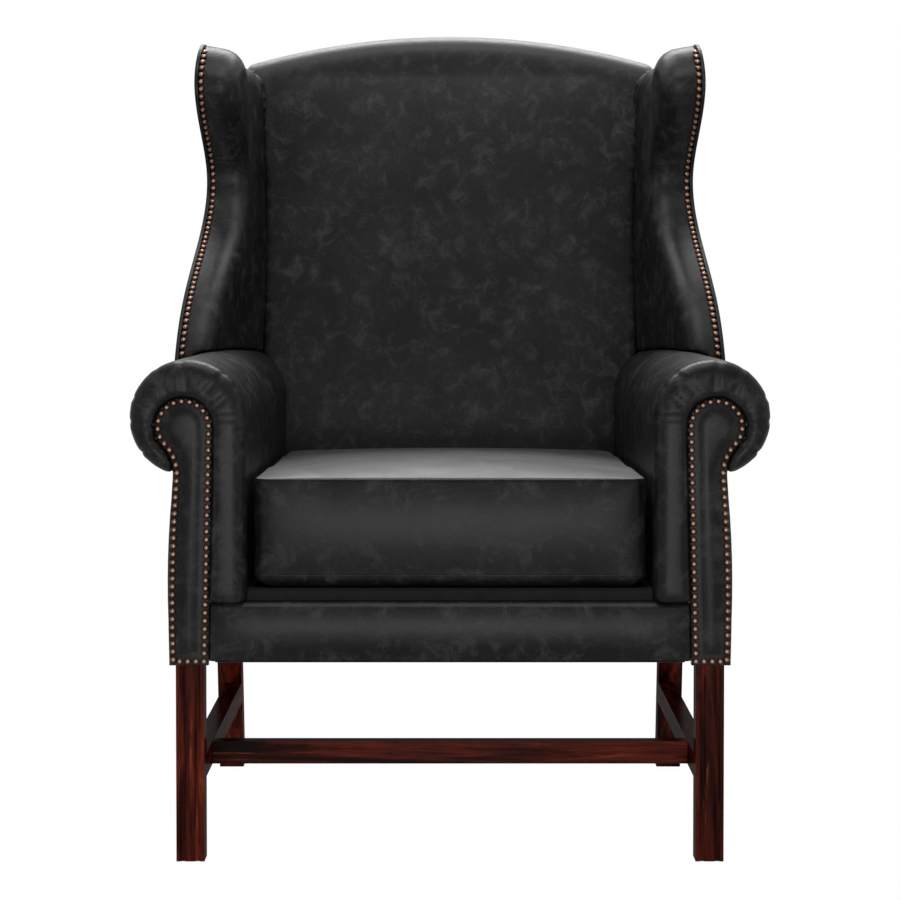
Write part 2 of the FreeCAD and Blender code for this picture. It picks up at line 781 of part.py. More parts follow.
def wing_layer(outline, near, far):
    """A slice of the wing between two distances in from its outer face, unplaced."""
    face = Part.Face(outline)
    face.translate(Vector(-near, 0, 0))
    return face.extrude(Vector(near - far, 0, 0))


def back_outline(drop=0, grow=0):
    """The back seen square to its rake: straight sides that flare to the arched crest."""
    foot = v.back_foot_lift - grow
    bend = (v.back_flare_height - v.rail_top) / v.rake_cos
    half, head = v.back_half + grow, v.back_head_half + grow
    top = arch(head, drop - grow, 0)
    left, right = top.Vertexes[0].Point, top.Vertexes[-1].Point
    if left.x > right.x:
        left, right = right, left
    edges = [top]
    for corner, side in ((right, 1), (left, -1)):
        curve = Part.BezierCurve()
        middle = (bend + corner.z) / 2
        curve.setPoles([Vector(side * half, 0, bend), Vector(side * half, 0, middle), corner])
        edges += [curve.toShape(), line(Vector(side * half, 0, foot), Vector(side * half, 0, bend))]
    edges.append(line(Vector(-half, 0, foot), Vector(half, 0, foot)))
    return loop(*edges)


# Inside back: a crowned pad that turns over the crest rail

def inside_back():
    front = -(v.back_pad_thick + v.back_crown)
    outline = back_outline()
    outline.translate(Vector(0, front, 0))
    solid = prism(outline, Vector(0, v.post_depth - front, 0))
    sweep = (v.back_head_half ** 2 + v.back_crown ** 2) / (2 * v.back_crown)
    solid = solid.common(Part.makeCylinder(sweep, FAR, Vector(0, front + sweep, -FAR / 2)))
    crest = v.back_reach - v.crest_rise

    def on_crest(middle, edge):
        return middle.z > crest and middle.y < -v.back_pad_thick / 2

    def on_rear_crest(middle, edge):
        return middle.z > crest and middle.y > v.post_depth - 1
    solid = soft_edges(solid, v.back_edge_round, on_crest)
    solid = soft_edges(solid, v.crest_cover / 2, on_rear_crest)
    spread = v.leg_size
    hollow = back_outline(v.crest_cover + spread, spread)
    hollow.translate(Vector(0, -(v.web_thick + v.hessian_thick + v.joint_gap), 0))
    return raked(solid.cut(prism(hollow, Vector(0, FAR, 0))))


def back_room():
    """The room that the back takes, a soft gap larger than it."""
    front = -(v.back_pad_thick + v.back_crown + v.soft_gap)
    outline = back_outline(0, v.soft_gap)
    outline.translate(Vector(0, front, 0))
    return raked(prism(outline, Vector(0, v.post_depth - front, 0)))


keep(shape_feature("inside_back", inside_back()), "inside_back")
back_tool = back_room()

# Wings: an outside panel, a shaped board and a pad that wraps the board's front edge

def wing_form():
    """A whole wing with its padded inner edge rounded over, unplaced."""
    blank = wing_layer(wing_outline(), 0, 2 * v.wing_thick)
    inner = Part.makeBox(FAR, FAR, FAR, Vector(-FAR, -FAR / 2, -FAR / 2))
    heel = Vector(-v.wing_thick, v.wing_foot_depth / SPLAY_COS, 0)
    inner.Placement = Placement(heel, Rotation(Vector(0, 0, 1), v.wing_taper))
    solid = blank.cut(inner)

    def on_inner_front(middle, edge):
        on_plane = middle.x < -v.wing_thick + 1
        return on_plane and middle.z > v.roll_z + 1 and middle.y < v.chair_back / SPLAY_COS - 1
    return soft_edges(solid, v.wing_round, on_inner_front)


arm_tool = arm_form(v.frame_setback, v.soft_gap)
arm_solid = arm_form(v.frame_setback)
wing_solid = wing_form()
wing_blade = wing_layer(wing_outline(v.wing_cover), v.outside_panel, v.outside_panel + v.wing_board)
board_solid = wing_place(wing_blade).cut(behind(0)).cut(back_tool)
skin = Part.makeBox(v.outside_panel, FAR, FAR, Vector(-v.outside_panel, -FAR / 2, 0))
outside_wing = wing_place(wing_solid.common(skin))
inside_wing = wing_place(wing_solid.cut(skin)).cut(board_solid)
for tool in (rear_space, arm_tool, post_shape, crest_shape, back_tool):
    outside_wing = outside_wing.cut(tool)
    inside_wing = inside_wing.cut(tool)
both_sides(shape_feature("wing_board_right", board_solid), "wing_board")
both_sides(shape_feature("outside_wing_right", outside_wing), "outside_wing")
both_sides(shape_feature("inside_wing_right", inside_wing), "inside_wing")

# Arms: a post and a board under a stuffed roll, with a puffed front around the facing

facing = prism(facing_outline(), Vector(0, v.frame_setback, 0))
mouth_outline = facing_outline(v.soft_gap)
mouth_outline.translate(Vector(0, -2 * v.arm_bulge, 0))
facing_room = prism(mouth_outline, Vector(0, 2 * v.arm_bulge + v.frame_setback, 0))


def inside_arm():
    start = v.frame_setback
    shell = Part.makeLoft([arm_shell_outline(start), arm_shell_outline(ARM_END)], True, True).cut(rear_space)
    outline = arm_outline(start)
    outline.translate(Vector(0, -start - v.arm_bulge, 0))
    front = prism(outline, Vector(0, start + v.arm_bulge, 0))
    front_y = v.face_y - v.arm_bulge

    def on_front_rim(middle, edge):
        inner_side = middle.x < v.leg_outer - 1 and middle.z > v.rail_top + 1
        return abs(middle.y - front_y) < 1e-3 and (inner_side or middle.x > v.leg_outer + 1)
    front = soft_edges(front, v.arm_round, on_front_rim)
    front = front.cut(facing_room)
    end = arm_solid.common(behind(v.post_depth - v.outside_panel))
    solid = shell.fuse([front, end]).removeSplitter()
    for tool in (back_tool, post_shape, board_solid):
        solid = solid.cut(tool)
    return solid


def arm_post():
    inner, middle, radius = roll_at(v.frame_setback)
    low_x = inner + v.arm_pad + v.soft_gap
    stem = Part.makeBox(v.leg_outer - low_x, v.arm_post_thick, v.roll_z - v.rail_top,
                        spot(low_x, v.frame_setback, v.rail_top))
    drift = middle - roll_at(v.frame_setback + v.arm_post_thick)[1]
    core = radius - v.arm_pad - v.soft_gap - drift
    head = Part.makeCylinder(core, v.arm_post_thick, spot(middle, v.frame_setback, v.roll_z), Vector(0, 1, 0))
    return stem.fuse(head).removeSplitter()


def arm_board():
    ends = []
    for depth in (v.frame_setback + v.arm_post_thick, ARM_END):
        middle = roll_at(depth)[1]
        half, low = v.arm_board_width / 2, v.roll_z + v.wing_cover - v.arm_board_thick
        ends.append(polygon([spot(middle + x, depth, low + z) for x, z in
                             ((-half, 0), (half, 0), (half, v.arm_board_thick), (-half, v.arm_board_thick))]))
    return Part.makeLoft(ends, True, True).cut(behind(0)).cut(back_tool)


both_sides(shape_feature("inside_arm_right", inside_arm()), "inside_arm")
both_sides(shape_feature("arm_post_right", arm_post()), "arm_post")
both_sides(shape_feature("arm_board_right", arm_board()), "arm_board")
both_sides(shape_feature("arm_facing_right", facing), "arm_facing")


def outside_arm():
    """The outer side of an arm: a panel that swells toward the rail, cut to the rake at the back."""
    start, low, high = v.frame_setback + v.soft_gap, v.rail_bottom, v.roll_z
    bulge = v.outside_arm
    foot = spot(v.leg_outer + 0.65 * bulge, start, low)
    crown = spot(v.leg_outer + 0.2 * bulge, start, high - v.roll_radius)
    belly = spot(v.leg_outer + bulge, start, v.rail_top)
    back_edge = [spot(v.leg_outer, start, high), spot(v.leg_outer, start, low)]
    rim = spot(v.leg_outer + 0.2 * bulge, start, high)
    section = Part.Wire([arc(foot, belly, crown), line(crown, rim), line(rim, back_edge[0]), line(*back_edge),
                         line(back_edge[1], foot)])
    rear = v.back_foot + v.leg_size
    lean = (high - v.rail_top) * v.rake_sin / v.rake_cos
    side = polygon([spot(0, depth, z) for depth, z in
                    ((0, low), (rear, low), (rear, v.rail_top), (rear + lean, high), (0, high))])
    return prism(section, Vector(0, FAR, 0)).common(prism(side, Vector(FAR, 0, 0))).cut(arm_tool)


both_sides(shape_feature("outside_arm_right", outside_arm()), "outside_arm")

# Front border, outside back and dust cover

facings = Part.makeCompound(both_hands([prism(facing_outline(v.soft_gap), Vector(0, v.frame_setback, 0))]))


def front_border():
    half = v.facing_x
    strip = Part.makeBox(2 * half, v.frame_setback, v.rail_height, spot(-half, 0, v.rail_bottom))

    def on_top_front(middle, edge):
        return middle.z > v.rail_top - 1e-3 and abs(middle.y - v.face_y) < 1e-3
    return soft_edges(strip, v.border_round, on_top_front).cut(facings)


def wing_outer_at(z):
    """The wing's outer face at the rear of the posts, at a height."""
    up = (z - v.rail_top + v.post_depth * v.rake_sin) / v.rake_cos
    depth = v.back_foot + v.post_depth * v.rake_cos + up * v.rake_sin
    return v.wing_outer_x - math.tan(math.radians(v.wing_splay)) * depth, up


def outside_back():
    shoulder, shoulder_up = wing_outer_at(v.arm_height)
    head = wing_outer_at(v.chair_height - v.crest_rise)[0] - v.outside_panel
    hip, hip_up = v.leg_outer + v.outside_arm / 2, wing_outer_at(v.roll_z)[1]
    top = arch(head, v.crest_cover / 2, v.post_depth)
    first, last = top.Vertexes[0].Point, top.Vertexes[-1].Point
    if first.x > last.x:
        first, last = last, first
    edges = [top]
    ends = []
    for corner, side in ((last, 1), (first, -1)):
        sides = [corner, Vector(side * (shoulder - v.outside_panel), v.post_depth, shoulder_up),
                 Vector(side * hip, v.post_depth, hip_up), Vector(side * hip, v.post_depth, -v.leg_size)]
        edges += [line(a, b) for a, b in zip(sides, sides[1:])]
        ends.append(sides[-1])
    edges.append(line(*ends))
    below = Part.makeBox(FAR, FAR, FAR, Vector(-FAR / 2, -FAR / 2, v.rail_top - FAR))
    upper = raked(prism(loop(*edges), Vector(0, v.outside_panel, 0))).cut(below)
    seam = [vertex.Point.y for vertex in upper.Vertexes if abs(vertex.Point.z - v.rail_top) < 1e-6]
    lower = Part.makeBox(2 * hip, max(seam) - min(seam), v.rail_height,
                         Vector(-hip, min(seam), v.rail_bottom))
    return upper.fuse(lower).removeSplitter()


keep(shape_feature("front_border", front_border()), "front_border")
keep(shape_feature("outside_back", outside_back()), "outside_back")
dust_span = "2 * (leg_inner - joint_gap)"
keep(board("dust_cover", (dust_span, "frame_depth - rail_thick", "dust_thick"),
           ("0 - leg_inner + joint_gap", "frame_y + rail_thick / 2", "rail_bottom - dust_thick")),
     "dust_cover")

# Seat suspension: sinuous springs held to the rails by clips, hessian and a deck pad

SPRING_START = v.frame_setback + v.rail_thick / 2
SPRING_END = v.back_foot + v.leg_half


def seat_spring():
    """One sinuous spring on the middle line: crossbars joined by half turns, side about."""
    bars = round((SPRING_END - SPRING_START) / v.spring_pitch)
    step = (SPRING_END - SPRING_START) / bars
    turn = step / 2
    straight = v.spring_loop - turn
    edges = []
    for bar in range(bars + 1):
        depth, side = SPRING_START + bar * step, (-1) ** bar
        end = spot(side * straight, depth, v.spring_z)
        edges.append(line(spot(-side * straight, depth, v.spring_z), end))
        if bar < bars:
            edges.append(arc(end, spot(side * v.spring_loop, depth + turn, v.spring_z),
                             spot(side * straight, depth + step, v.spring_z)))
    path = Part.Wire(edges)
    start = path.Edges[0].valueAt(path.Edges[0].FirstParameter)
    section = Part.Wire(Part.Circle(start, Vector(1, 0, 0), v.spring_wire).toShape())
    return path.makePipeShell([section], True, True)


def spring_clip(depth, facing_front):
    """A folded strap over a spring's end crossbar, nailed to the top of a rail."""
    reach, thick = v.clip_length / 2, v.clip_thick
    base = v.rail_top
    roof = v.hessian_z - v.joint_gap
    way = 1 if facing_front else -1
    section = [(-reach, base), (reach, base), (reach, base + thick), (thick - reach, base + thick),
               (thick - reach, roof - thick), (reach / 2, roof - thick), (reach / 2, roof), (-reach, roof)]
    outline = polygon([spot(-v.clip_width / 2, depth + way * y, z) for y, z in section])
    return prism(outline, Vector(v.clip_width, 0, 0))


def across(shape):
    """Copies of a shape at each spring's place across the seat."""
    gap = 2 * v.arm_inner_rear / (v.spring_count + 1)
    made = []
    for place in range(int(v.spring_count)):
        twin = shape.copy()
        twin.translate(Vector((place - (v.spring_count - 1) / 2) * gap, 0, 0))
        made.append(twin)
    return made


def seat_layer(front, rear, low, thick):
    """A flat layer between the arms, from one depth to another."""
    corners = []
    for side, depth in ((-1, front), (1, front), (1, rear), (-1, rear)):
        corners.append(spot(side * (roll_at(depth)[0] - v.soft_gap), depth, low))
    return prism(polygon(corners), Vector(0, 0, thick))


clips = across(spring_clip(SPRING_START, True)) + across(spring_clip(SPRING_END, False))
keep(shape_feature("seat_springs", Part.makeCompound(across(seat_spring()))), "seat_springs")
keep(shape_feature("spring_clips", Part.makeCompound(clips)), "spring_clips")
hessian = seat_layer(v.frame_setback, v.back_foot - v.rail_thick / 5, v.hessian_z, v.hessian_thick)
keep(shape_feature("seat_hessian", hessian), "seat_hessian")


def deck_pad():
    """The deck over the hessian, with a lip that drops in front of it to the top of the border."""
    deck = seat_layer(v.frame_setback - v.deck_lip, v.back_foot - v.leg_size, v.deck_bottom, v.deck_thick)
    lip = seat_layer(v.frame_setback - v.deck_lip, v.frame_setback, v.rail_top, v.deck_top - v.rail_top)
    front = v.face_y + v.frame_setback - v.deck_lip

    def on_lip(middle, edge):
        return abs(middle.y - front) < 1e-3 and middle.z > v.deck_top - 1e-3
    return soft_edges(deck.fuse(lip).removeSplitter(), v.deck_lip / 2, on_lip)


keep(shape_feature("deck_pad", deck_pad()), "deck_pad")

# Back suspension: webbing tacked to the crest and tacking rails, and hessian over it


def back_webbing():
    strips = []
    head = crest_foot + v.crest_rail_height / 2
    foot = v.tack_rail_lift + v.tack_rail_height / 4
    for place in (-1.5, -0.5, 0.5, 1.5):
        strips.append(Part.makeBox(v.web_width, v.web_thick, head - foot,
                                   Vector(place * 2.4 * v.web_width - v.web_width / 2, -v.web_thick, foot)))
    return raked(Part.makeCompound(strips))


def back_hessian():
    half = v.back_half - v.web_width / 2
    foot = v.tack_rail_lift
    head = crest_foot + v.crest_rail_height / 2
    low = -(v.web_thick + v.hessian_thick)
    return raked(Part.makeBox(2 * half, v.hessian_thick, head - foot, Vector(-half, low, foot)))


keep(shape_feature("back_webbing", back_webbing()), "back_webbing")
keep(shape_feature("back_hessian", back_hessian()), "back_hessian")

# Loose seat cushion: a boxed cover with a crowned top and drawn-in sides, its foam core, and a zip at the back

CUSHION_REAR = -(v.back_pad_thick + v.back_crown + v.cushion_rear_gap)


def cushion_form(inset):
    """The cushion's outer form drawn in by an inset."""
    low = v.deck_top + v.soft_gap + inset
    edge = v.deck_top + v.cushion_thick - inset
    front, rear = v.cushion_front + inset, v.back_foot
    corners = []
    for side, depth in ((-1, front), (1, front), (1, rear), (-1, rear)):
        corners.append(spot(side * (roll_at(depth)[0] - v.cushion_gap - inset), depth, low))
    middle = Vector(0, spot(0, (front + rear) / 2, low).y, low)
    sides = []
    for start, end in zip(corners, corners[1:] + corners[:1]):
        halfway = (start + end) / 2
        drawn = halfway + (middle - halfway).normalize() * v.cushion_draw
        sides.append(arc(start, drawn, end))
    blank = prism(Part.Wire(sides), Vector(0, 0, edge + v.cushion_crown - low))
    solid = blank.cut(behind(CUSHION_REAR - inset))

    def on_corner(middle, side):
        ends = [vertex.Point.z for vertex in side.Vertexes]
        return max(ends) - min(ends) > v.cushion_thick / 2
    solid = soft_edges(solid, v.cushion_corner - inset, on_corner)
    box = solid.BoundBox
    half, rise = box.YLength / 2, v.cushion_crown
    sweep = (half ** 2 + rise ** 2) / (2 * rise)
    axis_end = Vector(-FAR / 2, box.Center.y, edge + rise - sweep)
    solid = solid.common(Part.makeCylinder(sweep, FAR, axis_end, Vector(1, 0, 0)))

    def on_rim(middle, side):
        ends = [vertex.Point.z for vertex in side.Vertexes]
        return max(ends) < low + 1e-3 or min(ends) > low + v.cushion_thick / 2
    return soft_edges(solid, v.cushion_edge - inset, on_rim)


cushion_skin = cushion_form(0).cut(cushion_form(v.leather_thick))
keep(shape_feature("cushion_cover", cushion_skin), "cushion_cover")
keep(shape_feature("cushion_foam", cushion_form(v.leather_thick + v.soft_gap)), "cushion_foam")

zip_middle = (v.deck_top + v.cushion_thick / 2 - v.rail_top + CUSHION_REAR * v.rake_sin) / v.rake_cos
tape = Part.makeBox(v.zip_length, v.zip_thick, v.zip_height,
                    Vector(-v.zip_length / 2, CUSHION_REAR, zip_middle - v.zip_height / 2))
keep(shape_feature("zip_tape", raked(tape)), "zip_tape")
slider_lift = CUSHION_REAR + v.zip_thick + v.soft_gap
slider_x = v.zip_length / 2 - v.slider_length
slider = Part.makeBox(v.slider_length, v.zip_thick, v.slider_width,
                      Vector(slider_x, slider_lift, zip_middle - v.slider_width / 2))
keep(shape_feature("zip_slider", raked(slider)), "zip_slider")

# Close nailing: domed nails around the facings and up the front edges of the wings


def domed_nail():
    """A nail with its head's underside at the origin and its point down -Z."""
    rim, crown, shank = v.nail_radius, v.nail_height, v.nail_shank
    dome = (rim ** 2 + crown ** 2) / (2 * crown)
    lean = math.asin(rim / dome) / 2
    shoulder = Vector(dome * math.sin(lean), 0, crown - dome + dome * math.cos(lean))
    tip = [Vector(rim, 0, 0), Vector(shank, 0, 0), Vector(shank, 0, shank - v.nail_length),
           Vector(0, 0, -v.nail_length), Vector(0, 0, crown)]
    edges = [arc(tip[-1], shoulder, tip[0])] + [line(a, b) for a, b in zip(tip, tip[1:])]
    return Part.Face(Part.Wire(edges)).revolve(Vector(0, 0, 0), Vector(0, 0, 1), 360)


NAIL = domed_nail()


def nail_at(place, heading):
    twin = NAIL.copy()
    twin.Placement = Placement(place, Rotation(Vector(0, 0, 1), heading))
    return twin


def facing_nails():
    path = facing_outline(-v.nail_inset)
    count = round(path.Length / v.nail_pitch)
    return [nail_at(place, Vector(0, -1, 0)) for place in path.discretize(Number=count + 1)[:-1]]


def wing_nails():
    """A row up the front edge of a wing, from the arm to the top of the ear."""
    path = wing_front()
    row = v.outside_panel + v.nail_radius + v.soft_gap
    count = round(path.Length / v.nail_pitch)
    turn = Rotation(Vector(0, 0, 1), v.wing_splay)
    last_row = (v.ear_depth + v.ear_round / 2) / SPLAY_COS
    made = []
    for place in path.discretize(Number=count + 1):
        if place.z > v.ear_height and place.y > last_row:
            continue
        along = path.tangentAt(path.Curve.parameter(place))
        heading = turn.multVec(Vector(0, -along.z, along.y))
        spot_on_wing = spot(v.wing_outer_x, 0, 0) + turn.multVec(place + Vector(-row, 0, 0))
        inner, middle, radius = roll_at(spot_on_wing.y - v.face_y)
        if math.hypot(spot_on_wing.x - middle, spot_on_wing.z - v.roll_z) > radius + 2 * v.nail_radius:
            made.append(nail_at(spot_on_wing, heading))
    return made


both_sides(shape_feature("facing_nails_right", Part.makeCompound(facing_nails())), "facing_nails")
both_sides(shape_feature("wing_nails_right", Part.makeCompound(wing_nails())), "wing_nails")

# Checks and export

doc.recompute()
for obj in doc.Objects:
    if "Invalid" in obj.State or "Error" in obj.State:
        raise ValueError(f"{obj.Label} failed: {obj.State}")
os.makedirs("parts", exist_ok=True)
for label, obj in parts.items():
    if not obj.Shape.isValid():
        raise ValueError(f"{label} has an invalid shape")
    obj.Shape.exportStep(f"parts/{label}.step")
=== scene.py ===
import math

import bmesh
import bpy
from mathutils import Matrix, Vector, noise


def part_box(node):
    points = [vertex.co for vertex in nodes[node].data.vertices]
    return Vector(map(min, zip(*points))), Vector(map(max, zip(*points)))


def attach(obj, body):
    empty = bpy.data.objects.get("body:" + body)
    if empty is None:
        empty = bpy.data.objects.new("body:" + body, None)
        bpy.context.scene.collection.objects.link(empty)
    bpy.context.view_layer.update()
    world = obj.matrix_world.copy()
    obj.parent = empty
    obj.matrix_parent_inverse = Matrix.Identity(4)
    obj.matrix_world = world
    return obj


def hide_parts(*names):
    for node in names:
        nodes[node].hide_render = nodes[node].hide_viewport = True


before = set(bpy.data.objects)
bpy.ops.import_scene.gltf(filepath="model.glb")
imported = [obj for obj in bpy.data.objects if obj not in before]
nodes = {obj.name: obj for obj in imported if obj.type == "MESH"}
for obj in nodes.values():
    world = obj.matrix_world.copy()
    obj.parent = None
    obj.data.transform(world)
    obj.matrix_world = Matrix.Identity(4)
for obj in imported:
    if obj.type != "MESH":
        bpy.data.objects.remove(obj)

# The studio: a view from in front, as the photograph has, with softboxes overhead, behind and low
# in front, and a tall one at each side. The floor and the backdrop are plain white.
for stray in ("Cube", "Light", "Camera"):
    if stray in bpy.data.objects:
        bpy.data.objects.remove(bpy.data.objects[stray])
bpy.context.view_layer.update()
scene = bpy.context.scene
scene.view_settings.view_transform = "Standard"
face_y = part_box("arm_facing_left")[0][1]

camera_distance, camera_height, camera_tilt = 3.42, 0.7665, 2.02
camera_data = bpy.data.cameras.new("photo_camera")
camera_data.sensor_width = 36
camera_data.lens = 107.83
camera_data.shift_y = -0.1
camera = bpy.data.objects.new("photo_camera", camera_data)
camera.location = (0, face_y - camera_distance, camera_height)
camera.rotation_euler = (math.radians(90 - camera_tilt), 0, 0)
scene.collection.objects.link(camera)
scene.camera = camera


def add(tree, kind, inputs=None, **settings):
    """A shader node with its settings and its inputs, which are values or other nodes' sockets."""
    node = tree.nodes.new("ShaderNode" + kind)
    for key, value in settings.items():
        setattr(node, key, value)
    for key, value in (inputs or {}).items():
        if isinstance(value, bpy.types.NodeSocket):
            tree.links.new(value, node.inputs[key])
        else:
            node.inputs[key].default_value = value
    return node


def backdrop_mask(tree):
    """One where the backdrop itself is looked at, straight or in a reflection."""
    path = add(tree, "LightPath")
    mask = path.outputs["Is Camera Ray"]
    for ray in ("Is Glossy Ray", "Is Transmission Ray"):
        mask = add(tree, "Math", {0: mask, 1: path.outputs[ray]}, operation="MAXIMUM").outputs[0]
    return mask


world = bpy.data.worlds.new("studio")
world.use_nodes = True
scene.world = world
sky = world.node_tree.nodes["Background"]
sky.inputs["Color"].default_value = (1, 1, 1, 1)
room_light = 0.22
tree = world.node_tree
level = add(tree, "MapRange", {"Value": backdrop_mask(tree), "To Min": room_light, "To Max": 1.0})
tree.links.new(level.outputs["Result"], sky.inputs["Strength"])


def softbox(name, place, aim, size, power):
    """A rectangular lamp that looks at a point."""
    data = bpy.data.lights.new(name, "AREA")
    data.shape = "RECTANGLE"
    data.size, data.size_y = size
    data.energy = power
    lamp = bpy.data.objects.new(name, data)
    lamp.location = place
    lamp.rotation_euler = (Vector(aim) - Vector(place)).to_track_quat("-Z", "Y").to_euler()
    scene.collection.objects.link(lamp)


softbox("overhead_box", (0, -0.75, 2.45), (0, 0.05, 0.6), (1.5, 0.9), 42)
softbox("front_box", (0, -4.6, 0.3), (0, 0, 0.5), (1.0, 0.35), 100)
softbox("rear_box", (0, 1.15, 2.5), (0, -0.1, 0.7), (1.8, 0.6), 80)
softbox("left_box", (-2.8, -1.2, 1.3), (0, -0.1, 0.5), (0.5, 1.8), 9)
softbox("right_box", (2.8, -1.2, 1.3), (0, -0.1, 0.5), (0.5, 1.8), 9)

floor_mesh = bpy.data.meshes.new("floor")
bm = bmesh.new()
floor_half, floor_glow = 15, 0.99
bmesh.ops.create_grid(bm, x_segments=1, y_segments=1, size=floor_half)
bm.to_mesh(floor_mesh)
bm.free()
floor = bpy.data.objects.new("floor", floor_mesh)
scene.collection.objects.link(floor)
floor_white = bpy.data.materials.new("floor_white")
floor_white.use_nodes = True
tree = floor_white.node_tree
tree.nodes.remove(tree.nodes["Principled BSDF"])
paint = add(tree, "BsdfDiffuse", {"Color": (0.92, 0.92, 0.92, 1)})
glow = add(tree, "Emission", {"Color": (1, 1, 1, 1), "Strength": 1.0})
share = add(tree, "Math", {0: backdrop_mask(tree), 1: floor_glow}, operation="MULTIPLY")
painted = add(tree, "MixShader", {0: share.outputs[0], 1: paint.outputs[0], 2: glow.outputs[0]})
tree.links.new(painted.outputs[0], tree.nodes["Material Output"].inputs["Surface"])
floor_mesh.materials.append(floor_white)

# Base: square front legs with a moulded front, raked rear legs and an H stretcher, in polished
# mahogany. The stretchers are tenoned into the legs, and the legs run up behind the rails.


def ramp(tree, value, stops):
    """A colour ramp through (position, grey or colour) stops."""
    node = add(tree, "ValToRGB", {0: value})
    elements = node.color_ramp.elements
    while len(elements) < len(stops):
        elements.new(0.5)
    for element, (position, tone) in zip(elements, stops):
        element.position = position
        element.color = (*tone, 1) if hasattr(tone, "__len__") else (tone, tone, tone, 1)
    return node.outputs["Color"]


def mixed(tree, factor, first, second, mode="MIX"):
    """Two colours mixed by a factor."""
    node = add(tree, "Mix", data_type="RGBA", blend_type=mode)
    for index, value in ((0, factor), (6, first), (7, second)):
        if isinstance(value, bpy.types.NodeSocket):
            tree.links.new(value, node.inputs[index])
        elif index:
            node.inputs[index].default_value = (*value, 1)
        else:
            node.inputs[index].default_value = value
    return node.outputs[2]


def finish_group(name, outputs, inputs=("Place",)):
    """A node group that a finish is written in, with its input and output nodes."""
    group = bpy.data.node_groups.new(name, "ShaderNodeTree")
    for label in inputs:
        kind = "NodeSocketVector" if label == "Place" else "NodeSocketFloat"
        group.interface.new_socket(label, in_out="INPUT", socket_type=kind)
    for label in outputs:
        kind = {"Colour": "NodeSocketColor", "Normal": "NodeSocketVector"}.get(label, "NodeSocketFloat")
        group.interface.new_socket(label, in_out="OUTPUT", socket_type=kind)
    return group, group.nodes.new("NodeGroupInput").outputs, group.nodes.new("NodeGroupOutput").inputs


def finish(name, group, turn=(0, 0, 0), painted_light=False, **constants):
    """A material whose colour, roughness and normal come from a finish group on Object coordinates."""
    material = bpy.data.materials.new(name)
    material.use_nodes = True
    tree = material.node_tree
    shader = tree.nodes["Principled BSDF"]
    place = add(tree, "TexCoord").outputs["Object"]
    if any(turn):
        place = add(tree, "Mapping", {"Vector": place, "Rotation": turn}).outputs[0]
    used = add(tree, "Group", node_tree=group)
    tree.links.new(place, used.inputs["Place"])
    if painted_light:
        mask = add(tree, "Attribute", attribute_name="painted_light")
        tree.links.new(mask.outputs["Fac"], used.inputs["Painted_light"])
    for label, socket in (("Colour", "Base Color"), ("Roughness", "Roughness"), ("Normal", "Normal")):
        tree.links.new(used.outputs[label], shader.inputs[socket])
    if "Nap" in used.outputs:
        tree.links.new(used.outputs["Nap"], shader.inputs["Sheen Weight"])
    for label, value in constants.items():
        shader.inputs[label.replace("_", " ")].default_value = value
    return material


mahogany_group, given, made = finish_group("mahogany_figure", ("Colour", "Roughness", "Normal"))
tree = mahogany_group
drawn = add(tree, "VectorMath", {0: given["Place"], 1: (1, 1, 0.07)}, operation="MULTIPLY").outputs[0]
sway = add(tree, "TexNoise", {"Vector": drawn, "Scale": 26.0, "Detail": 3.0, "Roughness": 0.55, "Distortion": 1.1})
streak = add(tree, "TexNoise", {"Vector": drawn, "Scale": 95.0, "Detail": 6.0, "Roughness": 0.65, "Distortion": 0.7})
pore_place = add(tree, "VectorMath", {0: given["Place"], 1: (1, 1, 0.04)}, operation="MULTIPLY").outputs[0]
pore = add(tree, "TexNoise", {"Vector": pore_place, "Scale": 700.0, "Detail": 2.0})
figure = ramp(tree, sway.outputs["Fac"], [(0.36, (0.01, 0.0016, 0.0008)), (0.5, (0.05, 0.0062, 0.003)),
                                          (0.62, (0.085, 0.011, 0.005)), (0.76, (0.026, 0.004, 0.002))])
lines = ramp(tree, streak.outputs["Fac"], [(0.4, 0.12), (0.53, 0.8), (0.68, 1.0)])
wood = mixed(tree, 0.85, figure, lines, "MULTIPLY")
warm = ramp(tree, streak.outputs["Fac"], [(0.6, 0.0), (0.74, 1.0)])
wood = mixed(tree, warm, wood, (0.16, 0.036, 0.014))
pores = ramp(tree, pore.outputs["Fac"], [(0.34, 0.25), (0.46, 1.0)])
tree.links.new(mixed(tree, 0.6, wood, pores, "MULTIPLY"), made["Colour"])
gloss_and_painted_light = add(tree, "MapRange", {"Value": streak.outputs["Fac"], "To Min": 0.22, "To Max": 0.46})
tree.links.new(gloss_and_painted_light.outputs[0], made["Roughness"])
relief = add(tree, "Bump", {"Height": pore.outputs["Fac"], "Strength": 0.12, "Distance": 0.0006})
tree.links.new(relief.outputs[0], made["Normal"])

quarter = math.pi / 2
grain_turns = {"upright": (0, 0, 0), "deep": (quarter, 0, 0), "across": (0, quarter, 0)}
mahogany = {run: finish(f"mahogany_{run}", mahogany_group, turn, Specular_IOR_Level=0.0, Coat_Weight=0.06,
                        Coat_Roughness=0.22)
            for run, turn in grain_turns.items()}


def dress(material, *names):
    """Gives CAD nodes a finish."""
    for name in names:
        nodes[name].material_slots[0].material = material


dress(mahogany["upright"], "front_leg_left", "front_leg_right", "rear_leg_left", "rear_leg_right")
dress(mahogany["deep"], "side_stretcher_left", "side_stretcher_right")
dress(mahogany["across"], "cross_stretcher")

